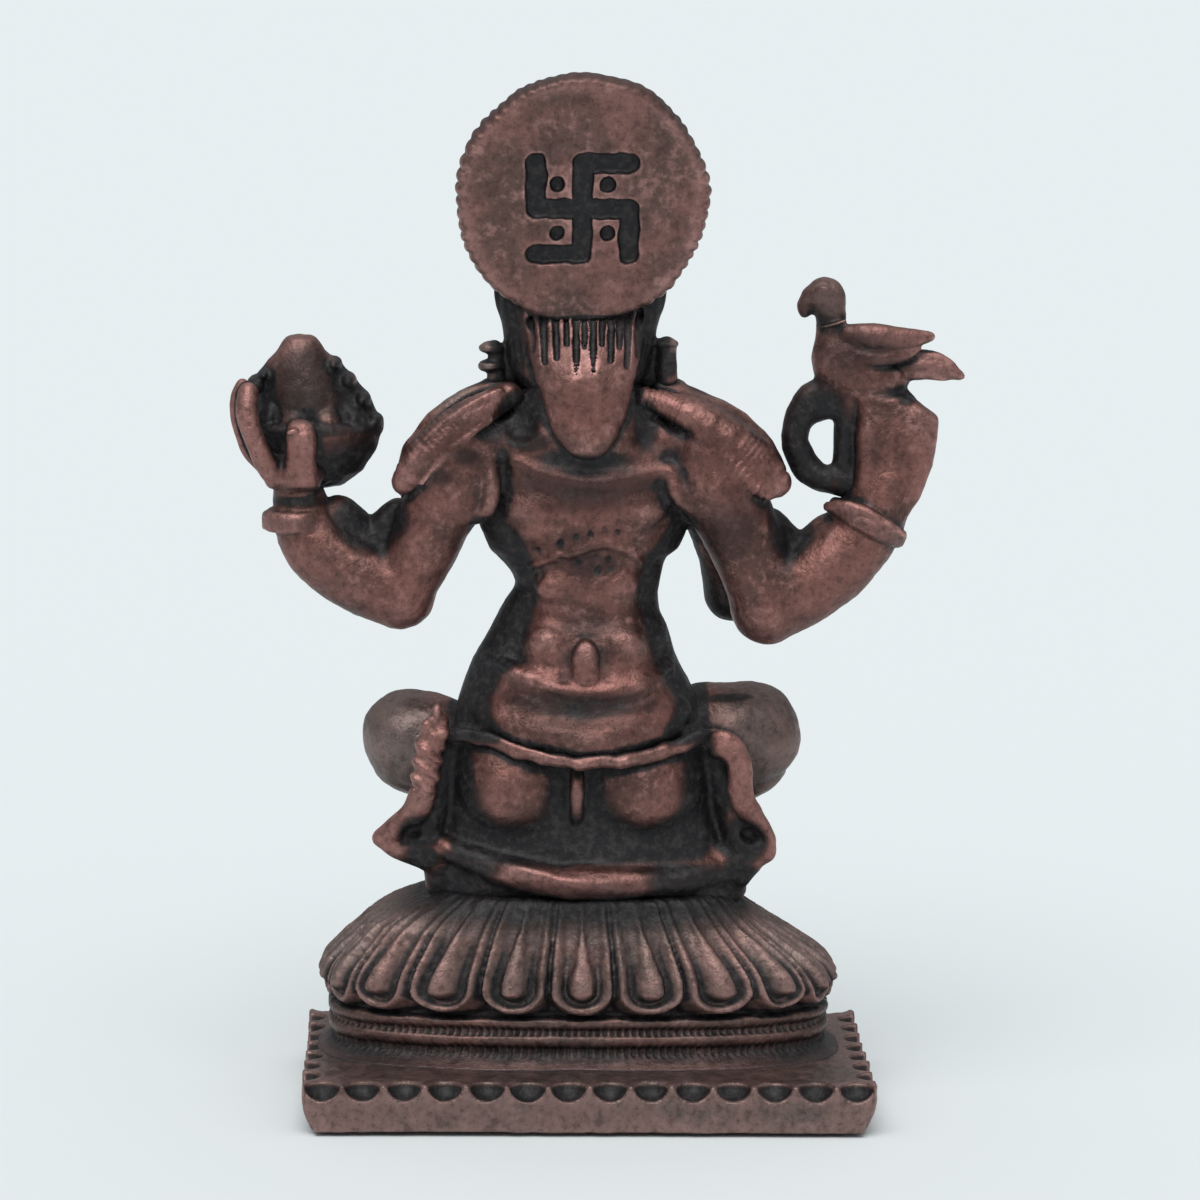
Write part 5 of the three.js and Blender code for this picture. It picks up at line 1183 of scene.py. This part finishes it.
def smooth(values, low, high):
    t = np.clip((values - low) / (high - low), 0, 1)
    return t * t * (3 - 2 * t)


def fade(values, low, high):
    return 1 - smooth(values, low, high)


def spotted(places, spots):
    amount = np.zeros(len(places))
    for x, y, z, rx, ry, rz, most in spots:
        away = np.sqrt((((places - (x, y, z)) / (rx, ry, rz)) ** 2).sum(1))
        amount = np.maximum(amount, most * fade(away, 0.55, 1.35))
    return amount


def blackPatinaAndShadow(name, points, normals):
    # how much black patina a hand would have left at each point, with the spots of painted shadow among it
    places = points - seat
    x, y, z = places.T
    if name == "halo":
        out, lean = places - halo["centre"], math.radians(halo["lean"])
        depth = out @ np.array((0, math.cos(lean), -math.sin(lean)))
        far = np.linalg.norm(out, axis=1)
        sign = fade(far, 5.6, 5.9) * smooth(-depth, 0.2, 0.42)
        return np.maximum(sign, 0.45 * smooth(far, 7.9, 9.0) * smooth(out[:, 2], 1.0, 6.0))
    if name == "plinth":
        halfX, halfY = plinth["width"] / 2, plinth["depth"] / 2
        inside = np.minimum(halfX - np.abs(points[:, 0]), halfY - np.abs(points[:, 1]))
        gouged = 0.95 * smooth(np.minimum(plinth["height"] - points[:, 2], inside), 0.1, 0.5)
        gouged = gouged * smooth(points[:, 2], 1.9, 2.3)
        upper = 0.1 * smooth(np.abs(normals[:, 1]), 0.8, 0.95)
        return np.maximum(gouged, upper)
    if name == "drum":
        return 0.02 + 0.32 * smooth(np.abs(points[:, 0]), 6, 17) + 0.2 * fade(points[:, 2], 4.1, 5.0)
    if name == "lotus":
        ends = smooth(np.abs(points[:, 0]), 9, 16)
        return (0.85 - 0.6 * ends) * smooth(points[:, 2], 11.6 + ends, 15.2)
    behind = smooth(normals[:, 1], -0.5, 0.0)
    heights, lefts, rights = np.array(backEdge).T
    left, right = np.interp(z, heights, lefts), np.interp(z, heights, rights)
    flank = smooth(np.maximum(x - left, right - x), -0.5, 0.5) * smooth(z, 11.0, 12.0) * fade(z, 27.0, 28.4)
    widest = np.interp(z, (14, 17, 20), (9.3, 8.9, 8.1))
    flank = flank * fade(np.abs(x) - widest, -0.3, 0.3) * behind
    frontArms = smooth(-y, 1.2, 2.2) * smooth(normals[:, 1], -0.2, 0.3) * smooth(np.abs(x), 7.5, 8.2)
    frontArms = frontArms * smooth(z, 16, 18) * fade(z, 29, 31) * fade(np.abs(x), 13.5, 14.5)
    recess = fade(y, 3.3, 5.2) * smooth(z, 2.6, 3.8) * fade(z, 10.0, 11.0) * fade(np.abs(x), 9.0, 9.8)
    recess = recess * (1 - 0.7 * smooth(z, 7.8, 9.4) * fade(np.abs(x), 7.6, 8.4))
    low = fade(z, 4.2, 7.0) * smooth(z, 2.4, 3.4) * fade(np.abs(x), 8.6, 9.6)
    return np.maximum.reduce([flank, frontArms, recess * behind, low, spotted(places, blackSpots)])


greyTone = {"plinth": 0.6, "drum": 0.4, "lotus": 0.5, "halo": 0.15}   # grey over a whole piece
budget = {   # most triangles
    "plinth": 90000, "drum": 110000, "lotus": 150000, "legs": 140000, "trunk": 180000, "cord": 20000,
    "pot_hand": 70000, "parrot_hand": 60000, "head": 95000, "halo": 75000,
}


def dress(name, wax, material):
    points, faces = skin(wax)
    normals = np.zeros_like(points)
    for i in range(3):
        ahead = np.zeros(3)
        ahead[i] = wax.step
        normals[:, i] = wax.sample(points + ahead) - wax.sample(points - ahead)
    normals /= np.maximum(np.linalg.norm(normals, axis=1, keepdims=True), 1e-6)
    hollow = np.zeros(len(points))
    for far, weight in lookAhead:
        hollow += weight * np.clip(1 - distanceAt(points + normals * far) / far, 0, 1.4)
    sharp = np.clip(1 + wax.sample(points - normals * 0.5) / 0.5, 0, 1)
    wide, wider = (between(values, (points - room["low"]) / room["cell"]) for values in (broad, broader))
    black = blackPatinaAndShadow(name, points, normals)
    grey = np.maximum(greyTone.get(name, 0), spotted(points - seat, greySpots) * (name != "halo"))
    for pitch, height, seed in zip(wobble["pitches"], wobble["heights"], itertools.count(wobble["seed"])):
        points = points + normals * (height * (unevenness(points, pitch, seed) - wobble["sink"]))[:, None]
    points = np.clip(points, np.array(cadBox[0]) / metres, np.array(cadBox[1]) / metres)
    mesh = bpy.data.meshes.new(name)
    mesh.vertices.add(len(points))
    mesh.vertices.foreach_set("co", (points * metres).astype(np.float32).ravel())
    mesh.loops.add(faces.size)
    mesh.loops.foreach_set("vertex_index", faces.astype(np.int32).ravel())
    mesh.polygons.add(len(faces))
    mesh.polygons.foreach_set("loop_start", np.arange(0, faces.size, 4, dtype=np.int32))
    mesh.polygons.foreach_set("use_smooth", np.ones(len(faces), bool))
    mesh.update(calc_edges=True)
    for label, values in (("hollow", hollow), ("sharp", sharp), ("broad", wide), ("broader", wider),
                          ("black", black), ("grey", grey)):
        layer = mesh.attributes.new(label, "FLOAT", "POINT")
        layer.data.foreach_set("value", np.asarray(values, np.float32))
    mesh.materials.append(material)
    piece = bpy.data.objects.new(name, mesh)
    bpy.context.scene.collection.objects.link(piece)
    triangles, most = 2 * len(faces), budget[name]
    if triangles > most:
        thin = piece.modifiers.new("thin_out", "DECIMATE")
        thin.ratio = most / triangles
        bpy.context.view_layer.objects.active = piece
        bpy.ops.object.modifier_apply(modifier=thin.name)
        piece.data.polygons.foreach_set("use_smooth", np.ones(len(piece.data.polygons), bool))
    print(name, "faces", triangles)
    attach(piece, "root")
    return piece


# Materials
def linear(hexColour):
    # an sRGB hex colour as the linear values that a shader takes
    parts = [int(hexColour[i:i + 2], 16) / 255 for i in (1, 3, 5)]
    return tuple(c / 12.92 if c <= 0.04045 else ((c + 0.055) / 1.055) ** 2.4 for c in parts) + (1.0,)


def addNode(tree, kind, settings=None, inputs=None):
    node = tree.nodes.new(kind)
    for key, value in (settings or {}).items():
        setattr(node, key, value)
    for key, value in (inputs or {}).items():
        if isinstance(value, bpy.types.NodeSocket):
            tree.links.new(value, node.inputs[key])
        else:
            node.inputs[key].default_value = value
    return node


copper = {
    "bright": "#bd8d86",     # rubbed copper on the highest places
    "body": "#845b54",       # the reddish brown that covers most of the figure
    "dull": "#644943",       # browner, darker patches
    "grey": "#827a75",       # cool grey brown where the plating is thin
    "deep": "#332826",       # brown stain between body and black
    # the black below also stands in as painted shade on downward faces and along the garlands
    "black": "#0f0f13",      # patina that stays in the hollows
    "dust": "#3c3838",       # its worn, dusty places
    "grainMm": 0.2,          # cast grain
    "fleckMm": 0.5,          # small flecks of rubbed metal
    "mottleMm": 1.3,
    "pitMm": 0.8,            # pin holes from the mould
    "cloudMm": 6.0,          # patches of thicker and thinner patina
}


def makeAntiqueCopper(spec):
    # copper-plated casting, blackened and rubbed back: bright on edges, near black in hollows, with painted
    # shade on faces that turn downwards, a soft sheen and a slightly grainy skin
    material = bpy.data.materials.new("antique_copper")
    material.use_nodes = True
    tree = material.node_tree
    tree.nodes.clear()
    place = addNode(tree, "ShaderNodeTexCoord").outputs["Object"]
    field = {}
    for name in ("hollow", "sharp", "broad", "broader", "black", "grey"):
        field[name] = addNode(tree, "ShaderNodeAttribute", {"attribute_name": name}).outputs["Fac"]
    for name, detail in (("cloud", 4.0), ("mottle", 4.0), ("fleck", 3.0), ("grain", 2.0)):
        field[name] = addNode(tree, "ShaderNodeTexNoise", {}, {
            "Vector": place, "Scale": 1 / (metres * spec[name + "Mm"]), "Detail": detail, "Roughness": 0.62,
        }).outputs["Fac"]
    field["pit"] = addNode(tree, "ShaderNodeTexVoronoi", {"feature": "F1"}, {
        "Vector": place, "Scale": 1 / (metres * spec["pitMm"])}).outputs["Distance"]
    normal = addNode(tree, "ShaderNodeNewGeometry").outputs["Normal"]
    field["upwards"] = addNode(tree, "ShaderNodeSeparateXYZ", {}, {0: normal}).outputs["Z"]

    # patterns that push a field up and down [name, field, pattern, amount]
    for name, value, pattern, amount in (
        ("uneven hollow", "hollow", "mottle", 0.35), ("uneven broad", "broad", "cloud", 0.15),
        ("uneven broader", "broader", "cloud", 0.15), ("mottled black", "black", "mottle", 0.5),
        ("uneven black", "mottled black", "fleck", 0.4), ("uneven edge", "sharp", "mottle", 0.5),
        ("rubbing", "mottle", "fleck", 0.7), ("staining", "fleck", "mottle", 0.8),
        ("dusting", "fleck", "mottle", 0.6),
    ):
        lowered = addNode(tree, "ShaderNodeMath", {"operation": "SUBTRACT"}, {0: field[value], 1: amount / 2})
        field[name] = addNode(tree, "ShaderNodeMath", {"operation": "MULTIPLY_ADD"}, {
            0: field[pattern], 1: amount, 2: lowered.outputs[0]}).outputs[0]

    # soft steps from one level of a field to another [name, field, levels, what they become]
    for name, value, low, high, least, most in (
        ("close", "uneven hollow", 0.06, 0.5, 0.0, 1.0), ("wide", "uneven broad", 0.5, 0.68, 0.0, 0.8),
        ("wider", "uneven broader", 0.55, 0.75, 0.0, 0.5), ("left", "uneven black", 0.3, 0.9, 0.0, 1.0),
        # the under step paints shade: faces that turn downwards get up to 0.4 more black
        ("under", "upwards", -0.1, -0.85, 0.0, 0.4), ("edge", "uneven edge", 0.3, 0.85, 0.0, 1.0),
        ("open", "broad", 0.46, 0.3, 0.0, 0.45), ("rubs", "rubbing", 0.5, 0.75, 0.0, 0.5),
        ("rubbed patch", "cloud", 0.32, 0.6, 0.5, 1.0), ("dull patch", "cloud", 0.42, 0.6, 0.0, 1.0),
        ("browning", "black", 0.05, 0.6, 0.0, 0.75), ("stain", "staining", 0.52, 0.24, 0.0, 0.45),
        ("speckle", "grain", 0.56, 0.74, 0.0, 0.4), ("dust", "dusting", 0.42, 0.75, 0.0, 0.7),
        ("sheen", "mottle", 0.3, 0.7, 0.4, 0.52), ("pits", "pit", 0.02, 0.12, 0.0, 0.5),
    ):
        field[name] = addNode(tree, "ShaderNodeMapRange", {"interpolation_type": "SMOOTHSTEP"}, {
            "Value": field[value], "From Min": low, "From Max": high, "To Min": least, "To Max": most,
        }).outputs["Result"]

    # the fields put together [name, operation, two fields or numbers]; the full ones stop at one
    full = ("patina_and_shade", "worn")
    for name, operation, first, second in (
        ("recess", "MAXIMUM", "wide", "wider"), ("hollows", "ADD", "close", "recess"),
        # the black left on and the painted shade on downward faces join the patina of the hollows
        ("kept_and_shaded_below", "ADD", "left", "under"), ("patina_and_shade", "ADD", "hollows", "kept_and_shaded_below"),
        ("polish", "ADD", "edge", "open"), ("worn", "ADD", "polish", "rubs"),
        ("rubbed", "MULTIPLY", "worn", "rubbed patch"), ("cool", "MULTIPLY", "grey", 0.75),
        ("blackened", "MULTIPLY", "patina_and_shade", 0.96), ("dulled", "MULTIPLY", "patina_and_shade", 0.08),
        ("roughness", "ADD", "sheen", "dulled"), ("fine", "MULTIPLY", "grain", 0.5),
        ("cast", "ADD", "fine", "fleck"), ("relief", "ADD", "cast", "pits"),
        ("coated", "MULTIPLY", "patina_and_shade", 0.55), ("metallic", "SUBTRACT", 0.85, "coated"),
    ):
        field[name] = addNode(tree, "ShaderNodeMath", {"operation": operation, "use_clamp": name in full}, {
            0: field.get(first, first), 1: field.get(second, second)}).outputs[0]

    # colours laid over one another [name, how much of the upper one, lower, upper]
    colour = {name: linear(value) for name, value in spec.items() if not name.endswith("Mm")}
    for name, amount, lower, upper in (
        ("brown", "dull patch", "body", "dull"), ("metal", "rubbed", "brown", "bright"),
        ("cooler", "cool", "metal", "grey"), ("browned", "browning", "cooler", "deep"),
        ("stained", "stain", "browned", "deep"), ("speckled", "speckle", "stained", "deep"),
        ("soot", "dust", "black", "dust"), ("finish", "blackened", "speckled", "soot"),
    ):
        colour[name] = addNode(tree, "ShaderNodeMix", {"data_type": "RGBA"}, {
            0: field[amount], 6: colour[lower], 7: colour[upper]}).outputs[2]

    bump = addNode(tree, "ShaderNodeBump", {}, {
        "Strength": 0.6, "Distance": 0.1 * metres, "Height": field["relief"]}).outputs["Normal"]
    shader = addNode(tree, "ShaderNodeBsdfPrincipled", {}, {
        "Base Color": colour["finish"], "Metallic": field["metallic"], "Roughness": field["roughness"],
        "Normal": bump})
    addNode(tree, "ShaderNodeOutputMaterial", {}, {"Surface": shader.outputs["BSDF"]})
    return material


antiqueCopper = makeAntiqueCopper(copper)
pieces = {name: dress(name, wax, antiqueCopper) for name, wax in waxes.items()}
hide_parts("saraswati_figure")
print("pieces made")


# Studio: a pale floor under an even sky that is brighter overhead, and one wide soft lamp
studio = {"floor": "#e6ebec", "floorHalf": 3.5, "high": "#ecf0f2", "low": "#7a8084", "strength": 0.8}


def makeStudio(spec):
    half = spec["floorHalf"]
    mesh = bpy.data.meshes.new("floor")
    corners = [(-half, -half, 0), (half, -half, 0), (half, half, 0), (-half, half, 0)]
    mesh.from_pydata(corners, [], [(0, 1, 2, 3)])
    floor = bpy.data.objects.new("floor", mesh)
    floor.location.z = -0.0002
    bpy.context.scene.collection.objects.link(floor)
    paper = bpy.data.materials.new("pale_paper")
    paper.use_nodes = True
    shader = paper.node_tree.nodes["Principled BSDF"]
    shader.inputs["Base Color"].default_value = linear(spec["floor"])
    shader.inputs["Roughness"].default_value = 1.0
    shader.inputs["Specular IOR Level"].default_value = 0.0
    mesh.materials.append(paper)
    world = bpy.data.worlds.new("studio_air")
    world.use_nodes = True
    tree = world.node_tree
    direction = addNode(tree, "ShaderNodeTexCoord").outputs["Generated"]
    height = addNode(tree, "ShaderNodeSeparateXYZ", inputs={0: direction}).outputs["Z"]
    share = addNode(tree, "ShaderNodeMapRange", inputs={
        "Value": height, "From Min": 0.0, "From Max": 0.9, "To Min": 0.0, "To Max": 1.0}).outputs["Result"]
    sky = addNode(tree, "ShaderNodeMix", settings={"data_type": "RGBA"}, inputs={
        0: share, 6: linear(spec["low"]), 7: linear(spec["high"])}).outputs[2]
    background = tree.nodes["Background"]
    tree.links.new(sky, background.inputs["Color"])
    background.inputs["Strength"].default_value = spec["strength"]
    bpy.context.scene.world = world
    bpy.context.scene.view_settings.view_transform = "Standard"


def addLamp(name, direction, spread, power):
    # a wide lamp far away lights the floor evenly
    data = bpy.data.lights.new(name, "SUN")
    data.angle = math.radians(spread)
    data.energy = power
    made = bpy.data.objects.new(name, data)
    made.rotation_euler = (-Vector(direction)).to_track_quat("-Z", "Y").to_euler()
    bpy.context.scene.collection.objects.link(made)


makeStudio(studio)
addLamp("soft_key", (0.15, 0.6, 1.0), 50, 1.65)
addLamp("soft_fill", (-0.6, 0.6, 0.6), 80, 0.15)
print("studio lit")
